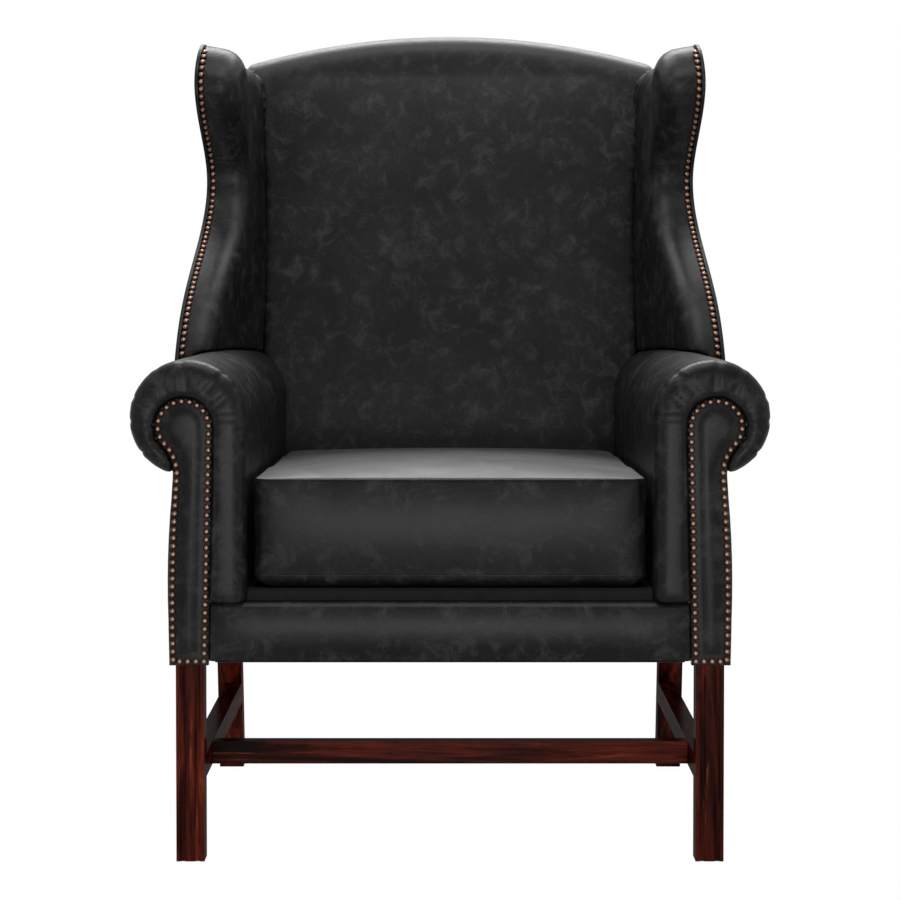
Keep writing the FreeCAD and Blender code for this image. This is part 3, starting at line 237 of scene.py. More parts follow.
# Glides, springs, clips and screws: drawn steel wire and pressed strip, with a dull oiled skin.
# The glides are nailed under the feet and the springs hook into clips on the rails.
steel_group, given, made = finish_group("oiled_steel", ("Colour", "Roughness", "Normal"))
tree = steel_group
haze = add(tree, "TexNoise", {"Vector": given["Place"], "Scale": 140.0, "Detail": 4.0})
tree.links.new(ramp(tree, haze.outputs["Fac"], [(0.35, 0.16), (0.65, 0.34)]), made["Colour"])
dull = add(tree, "MapRange", {"Value": haze.outputs["Fac"], "To Min": 0.28, "To Max": 0.5})
tree.links.new(dull.outputs[0], made["Roughness"])
relief = add(tree, "Bump", {"Height": haze.outputs["Fac"], "Strength": 0.05, "Distance": 0.0003})
tree.links.new(relief.outputs[0], made["Normal"])
steel = finish("oiled_steel", steel_group, Metallic=1.0)
dress(steel, "leg_glides", "seat_springs", "spring_clips", "corner_block_screws", "zip_slider")

# Frame: rails, posts, boards, blocks and dowels in plain sawn beech, glued and dowelled. The
# upholstery and the dust cover hide all of it.
beech_group, given, made = finish_group("sawn_beech", ("Colour", "Roughness", "Normal"))
tree = beech_group
drawn = add(tree, "VectorMath", {0: given["Place"], 1: (1, 1, 0.1)}, operation="MULTIPLY").outputs[0]
ring = add(tree, "TexNoise", {"Vector": drawn, "Scale": 60.0, "Detail": 5.0, "Distortion": 0.5})
fleck = add(tree, "TexNoise", {"Vector": drawn, "Scale": 420.0, "Detail": 2.0})
grain = ramp(tree, ring.outputs["Fac"], [(0.35, (0.36, 0.21, 0.11)), (0.65, (0.52, 0.34, 0.2))])
flecks = ramp(tree, fleck.outputs["Fac"], [(0.36, 0.7), (0.5, 1.0)])
tree.links.new(mixed(tree, 0.7, grain, flecks, "MULTIPLY"), made["Colour"])
sawn = add(tree, "MapRange", {"Value": fleck.outputs["Fac"], "To Min": 0.55, "To Max": 0.8})
tree.links.new(sawn.outputs[0], made["Roughness"])
relief = add(tree, "Bump", {"Height": fleck.outputs["Fac"], "Strength": 0.2, "Distance": 0.0005})
tree.links.new(relief.outputs[0], made["Normal"])
beech = {run: finish(f"beech_{run}", beech_group, turn) for run, turn in grain_turns.items()}
dress(beech["across"], "front_rail", "rear_rail", "crest_rail", "back_tacking_rail", "corner_blocks", "frame_dowels")
dress(beech["deep"], "side_rail_left", "side_rail_right", "arm_board_left", "arm_board_right")
dress(beech["upright"], "back_post_left", "back_post_right", "arm_post_left", "arm_post_right",
      "wing_board_left", "wing_board_right")

# Seat and back lining: hessian stretched over the springs and the webbing, jute webs on the back,
# and a black calico dust cover tacked under the rails.


def woven(name, dark, light, pitch, roughness):
    """A plain weave on Object coordinates."""
    group, given, made = finish_group(name, ("Colour", "Roughness", "Normal"))
    threads = []
    for direction in ("X", "Y"):
        yarn = {"Vector": given["Place"], "Scale": 1 / (math.pi * pitch), "Distortion": 1.2, "Detail": 2.0,
                "Detail Scale": 1.5}
        threads.append(add(group, "TexWave", yarn, bands_direction=direction).outputs["Fac"])
    weave = add(group, "Math", {0: threads[0], 1: threads[1]}, operation="MAXIMUM").outputs[0]
    slub = add(group, "TexNoise", {"Vector": given["Place"], "Scale": 90.0, "Detail": 5.0}).outputs["Fac"]
    cloth = mixed(group, weave, dark, light)
    shade = ramp(group, slub, [(0.3, 0.65), (0.65, 1.0)])
    group.links.new(mixed(group, 0.8, cloth, shade, "MULTIPLY"), made["Colour"])
    rough = add(group, "MapRange", {"Value": slub, "To Min": roughness - 0.08, "To Max": roughness + 0.08})
    group.links.new(rough.outputs[0], made["Roughness"])
    relief = add(group, "Bump", {"Height": weave, "Strength": 0.5, "Distance": 0.0006})
    group.links.new(relief.outputs[0], made["Normal"])
    return finish(name, group, Specular_IOR_Level=0.04)


hessian = woven("hessian_cloth", (0.12, 0.075, 0.035), (0.42, 0.29, 0.15), 0.0024, 0.86)
black_calico = woven("black_calico", (0.002, 0.002, 0.002), (0.009, 0.009, 0.0095), 0.0011, 0.85)


def piece(name, bm, material, body="chair", smooth=True):
    """An object from a bmesh, at the origin, with its material, riding on a body."""
    mesh = bpy.data.meshes.new(name)
    for face in bm.faces:
        face.smooth = smooth
    bm.to_mesh(mesh)
    bm.free()
    mesh.materials.append(material)
    obj = bpy.data.objects.new(name, mesh)
    scene.collection.objects.link(obj)
    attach(obj, body)
    return obj


def stretched_cloth(name, node, material, segments, sag, rear_width=1.0):
    """A stretched sheet as large as a flat CAD node, with a light sag, lying on the node's low face."""
    low, high = (Vector(corner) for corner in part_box(node))
    size, middle = high - low, (high + low) / 2
    bm = bmesh.new()
    bmesh.ops.create_grid(bm, x_segments=segments[0], y_segments=segments[1], size=0.5)
    for vertex in bm.verts:
        u, w = vertex.co.x, vertex.co.y
        narrow = 1 - (1 - rear_width) * (w + 0.5)
        fall = sag * (1 - 4 * u * u) * (1 - 4 * w * w)
        ripple = noise.noise((9 * u, 9 * w, 0.3)) * sag / 4
        vertex.co = (middle.x + u * size.x * narrow, middle.y + w * size.y, middle.z - fall + ripple)
    obj = piece(name, bm, material)
    wall = obj.modifiers.new("cloth_thickness", "SOLIDIFY")
    wall.thickness = size.z * 0.7
    wall.offset = 0
    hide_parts(node)
    return obj


seat_cloth = stretched_cloth("seat_hessian_cloth", "seat_hessian", hessian, (24, 26), 0.0, 0.93)
dust_cloth = stretched_cloth("dust_cover_cloth", "dust_cover", black_calico, (30, 30), 0.004)

# Back webbing and hessian: four jute webs strained from the crest rail to the tacking rail, with
# hessian tacked over them to carry the stuffing.
rake = math.radians(12)
web_low, web_high = (Vector(corner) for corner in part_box("back_webbing"))
web_count, web_width, web_gap = 4, 0.05, 0.12


def leaning(bm):
    """Leans a bmesh that stands on the web's low front edge to the rake of the back."""
    turn = Matrix.Translation((0, web_low.y, web_low.z)) @ Matrix.Rotation(-rake, 4, "X")
    bmesh.ops.transform(bm, matrix=turn, verts=bm.verts)


web_run = (web_high.z - web_low.z) / math.cos(rake)
bm = bmesh.new()
for row in range(web_count):
    made_strip = bmesh.ops.create_grid(bm, x_segments=4, y_segments=40, size=0.5)["verts"]
    for vertex in made_strip:
        u, w = vertex.co.x, vertex.co.y + 0.5
        belly = 0.0004 * math.sin(math.pi * w) * math.cos(9 * row)
        vertex.co = ((row - 1.5) * web_gap + u * web_width, 0.0007 + belly, w * web_run)
leaning(bm)
webs = piece("back_webs", bm, hessian)
wall = webs.modifiers.new("web_thickness", "SOLIDIFY")
wall.thickness, wall.offset = 0.001, 0
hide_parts("back_webbing")

back_low, back_high = (Vector(corner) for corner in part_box("back_hessian"))
cloth_run = (back_high.z - back_low.z) / math.cos(rake)
bm = bmesh.new()
bmesh.ops.create_grid(bm, x_segments=24, y_segments=30, size=0.5)
for vertex in bm.verts:
    u, w = vertex.co.x, vertex.co.y + 0.5
    vertex.co = (u * (back_high.x - back_low.x), -0.0012, w * cloth_run)
leaning(bm)
back_cloth = piece("back_hessian_cloth", bm, hessian)
wall = back_cloth.modifiers.new("cloth_thickness", "SOLIDIFY")
wall.thickness, wall.offset = 0.0008, 0
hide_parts("back_hessian")

# Front border: a strip of the same black pull-up hide over a thin pad on the front rail, tacked
# under the rail and drawn over its top edge. The hide has pale wisps where the wax has moved.
hide_group, given, made = finish_group("pull_up_hide", ("Colour", "Roughness", "Normal", "Nap"), ("Place", "Painted_light"))
tree = hide_group
cloud = add(tree, "TexNoise", {"Vector": given["Place"], "Scale": 9.0, "Detail": 6.0, "Roughness": 0.66,
                               "Distortion": 0.6}).outputs["Fac"]
wisp = add(tree, "TexNoise", {"Vector": given["Place"], "Scale": 36.0, "Detail": 8.0, "Roughness": 0.74,
                              "Distortion": 0.5}).outputs["Fac"]
bend = add(tree, "TexNoise", {"Vector": given["Place"], "Scale": 45.0, "Detail": 3.0}).outputs["Color"]
bent = add(tree, "VectorMath", {0: bend, 1: (0.03, 0.03, 0.03), 2: given["Place"]},
           operation="MULTIPLY_ADD").outputs[0]
crease = add(tree, "TexVoronoi", {"Vector": bent, "Scale": 52.0, "Randomness": 1.0},
             feature="DISTANCE_TO_EDGE").outputs["Distance"]
pebble = add(tree, "TexVoronoi", {"Vector": given["Place"], "Scale": 620.0}, feature="SMOOTH_F1").outputs["Distance"]
cloud_mask = ramp(tree, cloud, [(0.38, 0.0), (0.66, 1.0)])
wisp_mask = ramp(tree, wisp, [(0.5, 0.0), (0.78, 1.0)])
crease_mask = ramp(tree, crease, [(0.0, 1.0), (0.035, 0.0)])
hide = mixed(tree, cloud_mask, (0.0029, 0.0029, 0.003), (0.006, 0.006, 0.0062))
hide = mixed(tree, wisp_mask, hide, (0.027, 0.027, 0.027))
marked = add(tree, "Math", {0: crease_mask, 1: cloud_mask}, operation="MULTIPLY").outputs[0]
marked = add(tree, "Math", {0: marked, 1: 0.22}, operation="MULTIPLY").outputs[0]
hide = mixed(tree, marked, hide, (0.04, 0.04, 0.04))
# Painted light: the colour is lightened towards grey where the painted light mask is high, on upward faces.
hide = mixed(tree, given["Painted_light"], hide, (0.022, 0.022, 0.022))
tree.links.new(hide, made["Colour"])
matt = add(tree, "MapRange", {"Value": wisp_mask, "To Min": 0.4, "To Max": 0.56}).outputs[0]
tree.links.new(matt, made["Roughness"])
height = add(tree, "Math", {0: pebble, 1: 0.35, 2: wisp}, operation="MULTIPLY_ADD").outputs[0]
height = add(tree, "Math", {0: crease_mask, 1: -0.12, 2: height}, operation="MULTIPLY_ADD").outputs[0]
relief = add(tree, "Bump", {"Height": height, "Strength": 0.28, "Distance": 0.0011})
tree.links.new(relief.outputs[0], made["Normal"])
# The painted light mask, made patchy, also raises the sheen there.
patchy = add(tree, "MapRange", {"Value": cloud_mask, "To Min": 0.6, "To Max": 0.95}).outputs[0]
nap = add(tree, "Math", {0: given["Painted_light"], 1: patchy}, operation="MULTIPLY").outputs[0]
tree.links.new(nap, made["Nap"])
black_hide = finish("black_pull_up_hide", hide_group, painted_light=True, Specular_IOR_Level=0.09, Sheen_Roughness=0.35)


def paint_light(obj, share):
    """Marks the painted light at each point of a cover, which lightens its colour and raises its sheen."""
    light_share = obj.data.attributes.new("painted_light", "FLOAT", "POINT")
    for vertex in obj.data.vertices:
        light_share.data[vertex.index].value = share(vertex)


def merged_copy(node):
    """A bmesh of a CAD node with its loose triangles merged."""
    bm = bmesh.new()
    bm.from_mesh(nodes[node].data)
    bmesh.ops.remove_doubles(bm, verts=bm.verts, dist=1e-5)
    return bm


def covered_panel(name, node, edge_round, cell):
    """Leather over a thin panel: the CAD panel with its edges rounded and its faces divided."""
    bm = merged_copy(node)
    bmesh.ops.dissolve_limit(bm, angle_limit=math.radians(1), verts=bm.verts, edges=bm.edges)
    sharp = [e for e in bm.edges if len(e.link_faces) == 2 and e.calc_face_angle() > math.radians(38)]
    bmesh.ops.bevel(bm, geom=sharp, offset=edge_round, offset_type="OFFSET", segments=3, profile=0.5,
                    affect="EDGES", clamp_overlap=True, material=-1)
    low, high = (Vector(corner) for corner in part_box(node))
    for axis in range(3):
        steps = int((high - low)[axis] / cell)
        for step in range(1, steps):
            spot = low.copy()
            spot[axis] += (high - low)[axis] * step / steps
            normal = Vector((0, 0, 0))
            normal[axis] = 1
            bmesh.ops.bisect_plane(bm, geom=bm.verts[:] + bm.edges[:] + bm.faces[:], plane_co=spot, plane_no=normal)
    obj = piece(name, bm, black_hide)
    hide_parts(node)
    return obj


border = covered_panel("front_border_hide", "front_border", 0.004, 0.02)
border_low, border_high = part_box("front_border")
border_puff, border_end_fade, border_skin = 0.0075, 0.03, 0.006
for vertex in border.data.vertices:
    up = (vertex.co.z - border_low[2]) / (border_high[2] - border_low[2])
    along = min(1.0, (border_high[0] - abs(vertex.co.x)) / border_end_fade)
    forward = 1 - min(1.0, max(0.0, (vertex.co.y - face_y) / border_skin))
    vertex.co.y -= border_puff * forward * math.sin(math.pi * min(1.0, max(0.0, up))) * along

# Inside arms: hide over a stuffed roll, drawn round the front in fan pleats to the facing and
# tacked under the roll. The stuffing is firm, so only the pleats mark the front.


def stuffed_copy(name, node, voxel, relax):
    """A stuffed form: the CAD solid remeshed into even quads, then relaxed."""
    obj = piece(name, merged_copy(node), black_hide)
    even = obj.modifiers.new("even_quads", "REMESH")
    even.mode = "VOXEL"
    even.voxel_size = voxel
    seen = obj.evaluated_get(bpy.context.evaluated_depsgraph_get())
    mesh = bpy.data.meshes.new_from_object(seen)
    obj.modifiers.clear()
    obj.data = mesh
    mesh.name = name
    bm = bmesh.new()
    bm.from_mesh(mesh)
    for turn in range(relax):
        bmesh.ops.smooth_vert(bm, verts=bm.verts, factor=0.5, use_axis_x=True, use_axis_y=True, use_axis_z=True)
    for face in bm.faces:
        face.smooth = True
    bm.to_mesh(mesh)
    bm.free()
    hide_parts(node)
    return obj


def ease(value, start, end):
    """A smooth step from 0 at start to 1 at end."""
    share = min(1.0, max(0.0, (value - start) / (end - start)))
    return share * share * (3 - 2 * share)


scroll_x, scroll_z = 0.337, 0.566
pleat_angles = (8, 32, 56, 90, 122, 152, 182, 212)
pleat_width, pleat_depth, pleat_run = 0.0032, 0.0026, 0.03
arm_foot, arm_foot_depth, arm_foot_drop = 0.346, 0.016, 0.0016
for hand, side in (("left", -1), ("right", 1)):
    arm = stuffed_copy(f"inside_arm_hide_{hand}", f"inside_arm_{hand}", 0.005, 3)
    outward = [vertex.normal.copy() for vertex in arm.data.vertices]
    for vertex in arm.data.vertices:
        place = vertex.co
        near = 1 - ease(place.y, face_y - 0.002, face_y + pleat_run)
        across, up = scroll_x - side * place.x, place.z - scroll_z
        reach = math.hypot(across, up)
        if place.z < arm_foot and place.y < face_y + arm_foot_depth:
            place.z -= arm_foot_drop
        if near <= 0 or reach < pleat_run:
            continue
        angle = math.degrees(math.atan2(up, across)) % 360
        for count, pleat in enumerate(pleat_angles):
            bend = pleat + 160 * (reach - 0.055) * (1 if count % 2 else -1)
            apart = math.radians((angle - bend + 180) % 360 - 180) * reach
            fold = math.exp(-(apart / pleat_width) ** 2) - 0.35 * math.exp(-((apart - 0.006) / 0.004) ** 2)
            fade = ease(reach, 0.036, 0.044) * (1 - 0.5 * ease(reach, 0.06, 0.075))
            vertex.co -= outward[vertex.index] * pleat_depth * fold * near * fade

# Arm facings: boards covered in hide over a thin pad, pinned on and then close nailed, so that the
# pad stands up between the two rows of nails.
facing_steps = ((0.0105, 0.0), (0.004, 0.0016), (0.004, 0.0012), (0.004, 0.0006))
for hand in ("left", "right"):
    node = f"arm_facing_{hand}"
    bm = merged_copy(node)
    bmesh.ops.dissolve_limit(bm, angle_limit=math.radians(1), verts=bm.verts, edges=bm.edges)
    front = max((f for f in bm.faces if f.normal.y < -0.9), key=lambda f: f.calc_area())
    bmesh.ops.bevel(bm, geom=front.edges[:], offset=0.0025, offset_type="OFFSET", segments=3, profile=0.5,
                    affect="EDGES", clamp_overlap=True, material=-1)
    front = max((f for f in bm.faces if f.normal.y < -0.9), key=lambda f: f.calc_area())
    for inset, rise in facing_steps:
        bmesh.ops.inset_region(bm, faces=[front], thickness=inset, depth=rise, use_even_offset=True)
    bmesh.ops.triangulate(bm, faces=[front])
    facing = piece(f"arm_facing_hide_{hand}", bm, black_hide)
    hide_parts(node)

# Outside arms: flat panels of hide on hessian, blind tacked under the roll and closed along the
# rear post, with the bottom edge drawn under the side rail.
for hand in ("left", "right"):
    outside = covered_panel(f"outside_arm_hide_{hand}", f"outside_arm_{hand}", 0.003, 0.03)

# Inside back: hide drawn tight over hair and foam, round the sides and over the crest rail. The
# stuffing is pushed out by a cloth simulation that is held along the edges.


def stuffed_out(obj, pressure, most, held):
    """Swells a cover by a cloth simulation, holding some of its vertices and capping the moves."""
    sewn = obj.vertex_groups.new(name="sewn")
    sewn.add(held, 1.0, "REPLACE")
    stuffing = obj.modifiers.new("stuffing", "CLOTH")
    stuffing.settings.quality = 3
    stuffing.settings.use_pressure = True
    stuffing.settings.uniform_pressure_force = pressure
    stuffing.settings.effector_weights.gravity = 0
    stuffing.settings.vertex_group_mass = "sewn"
    for step in range(1, 21):
        scene.frame_set(step)
    swollen = obj.evaluated_get(bpy.context.evaluated_depsgraph_get()).data
    moves = [after.co - before.co for before, after in zip(obj.data.vertices, swollen.vertices)]
    for vertex, move in zip(obj.data.vertices, moves):
        vertex.co += move * min(1.0, most / max(move.length, 1e-9))
    obj.modifiers.remove(stuffing)
    obj.vertex_groups.remove(sewn)
    scene.frame_set(1)


back = stuffed_copy("inside_back_hide", "inside_back", 0.006, 3)
outward = [vertex.normal.copy() for vertex in back.data.vertices]
back_half, back_foot, back_head = 0.262, 0.4, 1.05
back_edges = []
for vertex in back.data.vertices:
    facing_front = outward[vertex.index].y < -0.9
    inside_edge = abs(vertex.co.x) < back_half and back_foot < vertex.co.z < back_head
    if not (facing_front and inside_edge):
        back_edges.append(vertex.index)
stuffed_out(back, 2.5, 0.006, back_edges)
# Painted highlight on the crest: the faces that turn up are lightened and given more sheen.
paint_light(back, lambda vertex: 0.9 * ease(vertex.normal.z, 0.2, 0.6))

# Wings: a stuffed inside wing that thins toward the top, where its ear slopes down to the crest,
# and a flat outside panel. Both meet under the nails on the front edge.
wing_face, wing_splay, wing_taper = 0.4155, math.tan(math.radians(6.84)), math.tan(math.radians(3.4))
wing_foot, wing_thick = 0.292, 0.05
rake_depth, rake_height, pad_front = 0.609, 0.338, 0.088
ear_low, ear_high = 1.0, 1.07
for hand, side in (("left", -1), ("right", 1)):
    wing = stuffed_copy(f"inside_wing_hide_{hand}", f"inside_wing_{hand}", 0.004, 3)
    for vertex in wing.data.vertices:
        depth = vertex.co.y - face_y
        thick = wing_thick + wing_taper * (depth - wing_foot)
        inward = min(1.0, max(0.0, (wing_face - wing_splay * depth - side * vertex.co.x) / thick))
        behind, above = rake_depth - depth, vertex.co.z - rake_height
        before_back = behind * math.cos(rake) + above * math.sin(rake) - pad_front
        at_ear = ease(vertex.co.z, ear_low, ear_high)
        lean = 0.019 * ease(vertex.co.z, 0.72, 1.08) + 0.01 * at_ear
        slope = 0.012 * at_ear * (1 - ease(depth, 0.47, 0.56))
        vertex.co.x += side * inward * lean * ease(depth, 0.48, 0.6) * ease(before_back, -0.004, 0.004)
        vertex.co.z -= inward * slope
    shell = covered_panel(f"outside_wing_hide_{hand}", f"outside_wing_{hand}", 0.0018, 0.02)

# Outside back: one hide from the crest to the bottom of the rear rail, blind tacked along the top
# and slip stitched down the sides.
rear_panel = covered_panel("outside_back_hide", "outside_back", 0.0018, 0.03)

# Turned edges: the hide of the border, the outside arms and the outside back is drawn under the
# rails and tacked there, and the dust cover's edge hides the tacks.
hide_thick, tack_gap, rail_bottom = 0.0008, 0.0001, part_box("front_rail")[0][2]
cover_low, cover_high = (Vector(corner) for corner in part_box("dust_cover"))
fold_gap, facing_gap, back_lap, edge_gap = 0.001, 0.008, 0.004, 0.0005
rail_front, border_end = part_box("front_rail")[0][1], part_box("front_border")[1][0] - facing_gap
front_leg, rear_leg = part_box("front_leg_right"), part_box("rear_leg_right")
arm_out, back_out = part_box("outside_arm_right")[1][0] - fold_gap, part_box("outside_back")[0][1] + back_lap
leg_in = front_leg[0][0] - fold_gap
turned = [(-border_end, border_end, face_y + fold_gap, rail_front),
          (-leg_in, leg_in, rail_front, cover_low.y - edge_gap),
          (-leg_in, leg_in, cover_high.y + edge_gap, back_out)]
for side in (-1, 1):
    across = sorted((side * (cover_high.x + edge_gap), side * arm_out))
    turned.append((*across, front_leg[1][1] + fold_gap, rear_leg[0][1] - fold_gap))
bm = bmesh.new()
for x0, x1, y0, y1 in turned:
    for vertex in bmesh.ops.create_cube(bm, size=1)["verts"]:
        vertex.co = (x1 if vertex.co.x > 0 else x0, y1 if vertex.co.y > 0 else y0,
                     rail_bottom - tack_gap - (0 if vertex.co.z > 0 else hide_thick))
turned_hide = piece("turned_hide", bm, black_hide, smooth=False)

# Seat deck: a thin felt pad over the hessian under black platform cloth, with a lip that drops to
# the border behind the cushion's front.
deck = covered_panel("deck_pad_cloth", "deck_pad", 0.002, 0.03)
# The platform cloth is black, and its near-black tone also stands in for the shadow under the cushion's front.
deck.data.materials[0] = black_calico

# Seat cushion: a loose boxed cushion with a foam core and a hide cover. The boxing is sewn to the
# top and bottom panels, the top is crowned, the bottom curls under, and a zip closes the back.
cushion_low, cushion_high = (Vector(corner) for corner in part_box("cushion_cover"))
seam_low, seam_high = 0.370, 0.4945
front_half, rear_half, seam_back = 0.2535, 0.2365, 0.007
front_turn, rear_turn, cover_voxel = 0.022, 0.045, 0.0065
crown_rise, side_draw, bottom_curl, front_belly = 0.0085, 0.0035, 0.016, 0.0065
bm = bmesh.new()
bmesh.ops.create_cube(bm, size=1)
for vertex in bm.verts:
    rear, top = vertex.co.y > 0, vertex.co.z > 0
    z = seam_high if top else cushion_low.z
    y = face_y + seam_back
    if rear:
        y = cushion_high.y - 0.001 - (cushion_high.z - z) * math.tan(rake)
    vertex.co = (math.copysign(rear_half if rear else front_half, vertex.co.x), y, z)
for turn, is_front in ((front_turn, True), (rear_turn, False)):
    corners = [e for e in bm.edges if abs(e.verts[0].co.z - e.verts[1].co.z) > 0.1
               and e.calc_face_angle() > math.radians(69) and (e.verts[0].co.y < 0) == is_front]
    bmesh.ops.bevel(bm, geom=corners, offset=turn, offset_type="OFFSET", segments=6, profile=0.5,
                    affect="EDGES", clamp_overlap=True, material=-1)
cushion = piece("cushion_hide", bm, black_hide, "seat_cushion")
even = cushion.modifiers.new("even_quads", "REMESH")
even.mode = "VOXEL"
even.voxel_size = cover_voxel
mesh = bpy.data.meshes.new_from_object(cushion.evaluated_get(bpy.context.evaluated_depsgraph_get()))
cushion.modifiers.clear()
cushion.data = mesh
middle_y = (face_y + cushion_high.y) / 2
half_deep = (cushion_high.y - face_y) / 2
for vertex in mesh.vertices:
    place = vertex.co
    w = (place.y - middle_y) / half_deep
    half = front_half + (rear_half - front_half) * (w + 1) / 2
    u = place.x / half
    up = (place.z - cushion_low.z) / (seam_high - cushion_low.z)
    crown = crown_rise * max(0.0, 1 - u ** 4) * max(0.0, 1 - w ** 4)
    drawn = side_draw * max(0.0, 1 - w * w)
    under = bottom_curl * (1 - ease(place.z, cushion_low.z, seam_low)) ** 2
    rise = (place.z - seam_low) / (seam_high - seam_low)
    belly = front_belly * max(0.0, 4 * rise * (1 - rise)) * max(0.0, 1 - u ** 8) * ease(-w, 0.85, 0.96)
    place.z += crown * ease(up, 0.85, 1.0)
    place.x -= math.copysign(min(abs(u), 1.0) ** 6 * (drawn + under), u)
    place.y -= math.copysign(min(abs(w), 1.0) ** 10 * under, w) + belly
for face in mesh.polygons:
    face.use_smooth = True
held = []
for vertex in mesh.vertices:
    x, y, z = vertex.co
    half = front_half + (rear_half - front_half) * ((y - middle_y) / half_deep + 1) / 2
    by_edge = abs(x) > half - 0.012 or y < face_y + seam_back + 0.009 or y > cushion_high.y - rear_turn
    on_seam = min(abs(z - seam_low), abs(z - seam_high)) < 0.005
    on_bottom, on_side, on_rear = z < cushion_low.z + 0.002, abs(x) > half - 0.008, vertex.normal.y > 0.8
    if (by_edge and on_seam) or on_bottom or on_side or on_rear:
        held.append(vertex.index)
stuffed_out(cushion, 3.5, 0.007, held)
finer = cushion.modifiers.new("finer_cover", "SUBSURF")
finer.levels = finer.render_levels = 1


def cushion_light(vertex):
    """Painted light on the top: strongest along its front, fading towards the rear."""
    return ease(vertex.normal.z, 0.5, 0.85) * (0.95 - 0.7 * ease(vertex.co.y - face_y, 0.2, 0.38))


paint_light(cushion, cushion_light)
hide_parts("cushion_cover", "cushion_foam")

seam_radius, welt_steps = 0.0014, 320


def cushion_welt(name, z):
    """A welt sewn round the cushion at a height: a thin cord seated on the cover's own surface."""
    depsgraph = bpy.context.evaluated_depsgraph_get()
    data = bpy.data.curves.new(name, "CURVE")
    data.dimensions = "3D"
    data.bevel_depth = seam_radius
    data.bevel_resolution = 2
    data.resolution_u = 2
    spline = data.splines.new("NURBS")
    spline.points.add(welt_steps - 1)
    for step, point in enumerate(spline.points):
        angle = 2 * math.pi * step / welt_steps
        outward = Vector((math.cos(angle), math.sin(angle), 0))
        start = Vector((0, middle_y, z)) + outward
        place = cushion.ray_cast(start, -outward, depsgraph=depsgraph)[1]
        point.co = (*place, 1)
    spline.use_cyclic_u = True
    spline.order_u = 3
    curve = bpy.data.objects.new(name, data)
    scene.collection.objects.link(curve)
    mesh = bpy.data.meshes.new_from_object(curve.evaluated_get(bpy.context.evaluated_depsgraph_get()))
    bpy.data.objects.remove(curve)
    mesh.name = name
    mesh.materials.clear()
    mesh.materials.append(black_hide)
    for face in mesh.polygons:
        face.use_smooth = True
    welt = bpy.data.objects.new(name, mesh)
    scene.collection.objects.link(welt)
    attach(welt, "seat_cushion")


cushion_welt("cushion_top_welt", seam_high - 0.002)
cushion_welt("cushion_bottom_welt", seam_low)

# Cushion zip: two woven tapes sewn into the back of the boxing, with a row of pressed teeth that
# the slider runs on.
tape_low, tape_high = (Vector(corner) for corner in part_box("zip_tape"))
tape_long, tape_wide = tape_high.x - tape_low.x, (tape_high.z - tape_low.z) / math.cos(rake)
bm = bmesh.new()
for half_tape in (-1, 1):
    made_tape = bmesh.ops.create_grid(bm, x_segments=60, y_segments=4, size=0.5)["verts"]
    for vertex in made_tape:
        across = half_tape * (tape_wide / 4 + 0.0004) + vertex.co.y * (tape_wide / 2 - 0.0012)
        vertex.co = (vertex.co.x * tape_long, 0, across)
bmesh.ops.solidify(bm, geom=bm.faces[:], thickness=0.0008)
tooth_pitch = 0.003
teeth = int(tape_long / tooth_pitch) - 2
for tooth in range(teeth):
    row = bmesh.ops.create_cube(bm, size=1)["verts"]
    for vertex in row:
        vertex.co = (tape_low.x + (tooth + 1.5 + vertex.co.x * 0.55) * tooth_pitch, vertex.co.y * 0.0012,
                     vertex.co.z * 0.0036 + (0.0004 if tooth % 2 else -0.0004))
bmesh.ops.recalc_face_normals(bm, faces=bm.faces)
stand = Matrix.Translation((tape_low + tape_high) / 2)
bmesh.ops.transform(bm, matrix=stand @ Matrix.Rotation(-rake, 4, "X"), verts=bm.verts)
zip_strip = piece("cushion_zip", bm, black_calico, "seat_cushion", smooth=False)
zip_strip.data.materials.append(steel)
for face in zip_strip.data.polygons:
    if face.index >= len(zip_strip.data.polygons) - 6 * teeth:
        face.material_index = 1
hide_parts("zip_tape")

# Close nails: antique brass domes, with a painted highlight on the crown and painted shade
# darkening towards the rim, driven side by side round the facings and up the front edges of the wings.
brass_group, given, made = finish_group("antique_brass", ("Colour", "Roughness", "Normal"), ("Place", "Painted_light"))
tree = brass_group
tarnish = add(tree, "TexNoise", {"Vector": given["Place"], "Scale": 420.0, "Detail": 4.0}).outputs["Fac"]
# Painted light: a dark rim stands in for the dome's shade and a bright crown for its highlight.
gloss_and_painted_light = ramp(tree, given["Painted_light"], [(0.3, (0.016, 0.006, 0.003)), (0.72, (0.06, 0.024, 0.013)),
                                    (1.0, (0.26, 0.165, 0.12))])
spots = ramp(tree, tarnish, [(0.35, 0.55), (0.6, 1.0)])
tree.links.new(mixed(tree, 0.7, gloss_and_painted_light, spots, "MULTIPLY"), made["Colour"])
rough = add(tree, "MapRange", {"Value": tarnish, "To Min": 0.3, "To Max": 0.5})
tree.links.new(rough.outputs[0], made["Roughness"])
relief = add(tree, "Bump", {"Height": tarnish, "Strength": 0.12, "Distance": 0.0003})
tree.links.new(relief.outputs[0], made["Normal"])
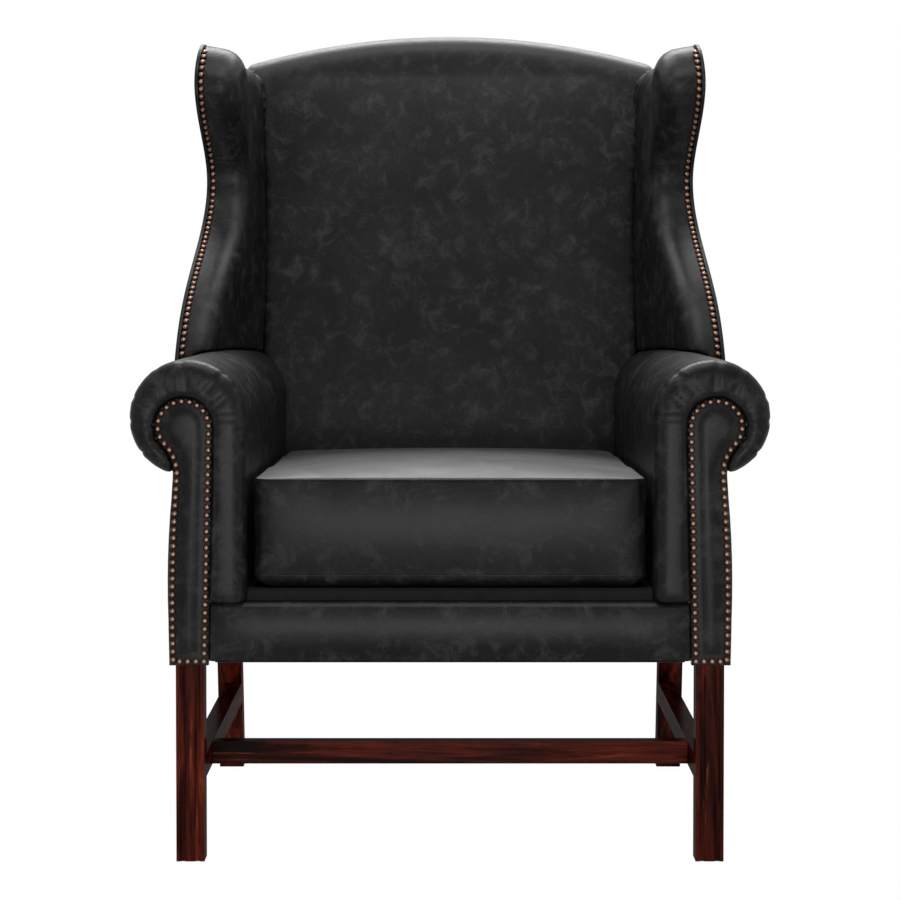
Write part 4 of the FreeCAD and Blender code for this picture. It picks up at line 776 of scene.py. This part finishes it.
antique_brass = finish("antique_brass", brass_group, painted_light=True, Metallic=0.85)

nail_length, nail_height = 0.011, 0.003
nail_profile = ((0.0, 0.003), (0.0021, 0.0026), (0.0037, 0.0015), (0.0045, 0.0002), (0.0042, -0.0006))
dome = bmesh.new()
rounds = [dome.verts.new((radius, 0, lift)) for radius, lift in nail_profile]
for first, second in zip(rounds, rounds[1:]):
    dome.edges.new((first, second))
bmesh.ops.spin(dome, geom=dome.verts[:] + dome.edges[:], cent=(0, 0, 0), axis=(0, 0, 1), angle=2 * math.pi,
               steps=12, use_merge=True)
bmesh.ops.remove_doubles(dome, verts=dome.verts, dist=1e-5)
bmesh.ops.recalc_face_normals(dome, faces=dome.faces)
crown_light = dome.verts.layers.float.new("painted_light")
for vertex in dome.verts:
    vertex[crown_light] = max(0.0, vertex.co.z / nail_height)
nail_head = bpy.data.meshes.new("nail_head")
dome.to_mesh(nail_head)
dome.free()


def nail_places(node):
    """Where each nail of a CAD node stands: its head's foot and its heading, off the node's loose solids."""
    bm = merged_copy(node)
    left = set(bm.verts)
    places = []
    while left:
        island, edge = set(), [left.pop()]
        while edge:
            vertex = edge.pop()
            island.add(vertex)
            for link in vertex.link_edges:
                other = link.other_vert(vertex)
                if other in left:
                    left.discard(other)
                    edge.append(other)
        middle = sum((vertex.co for vertex in island), Vector()) / len(island)
        tip = max(island, key=lambda vertex: (vertex.co - middle).length).co.copy()
        heading = (middle - tip).normalized()
        places.append((tip + heading * nail_length, heading))
    bm.free()
    return sorted(places, key=lambda pair: tuple(pair[0]))


for node in ("facing_nails_left", "facing_nails_right", "wing_nails_left", "wing_nails_right"):
    bm = bmesh.new()
    for foot, heading in nail_places(node):
        before = len(bm.verts)
        bm.from_mesh(nail_head)
        bm.verts.ensure_lookup_table()
        stand = Matrix.Translation(foot) @ heading.to_track_quat("Z", "Y").to_matrix().to_4x4()
        bmesh.ops.transform(bm, matrix=stand, verts=bm.verts[before:])
    heads = piece(f"{node}_brass", bm, antique_brass)
    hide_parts(node)
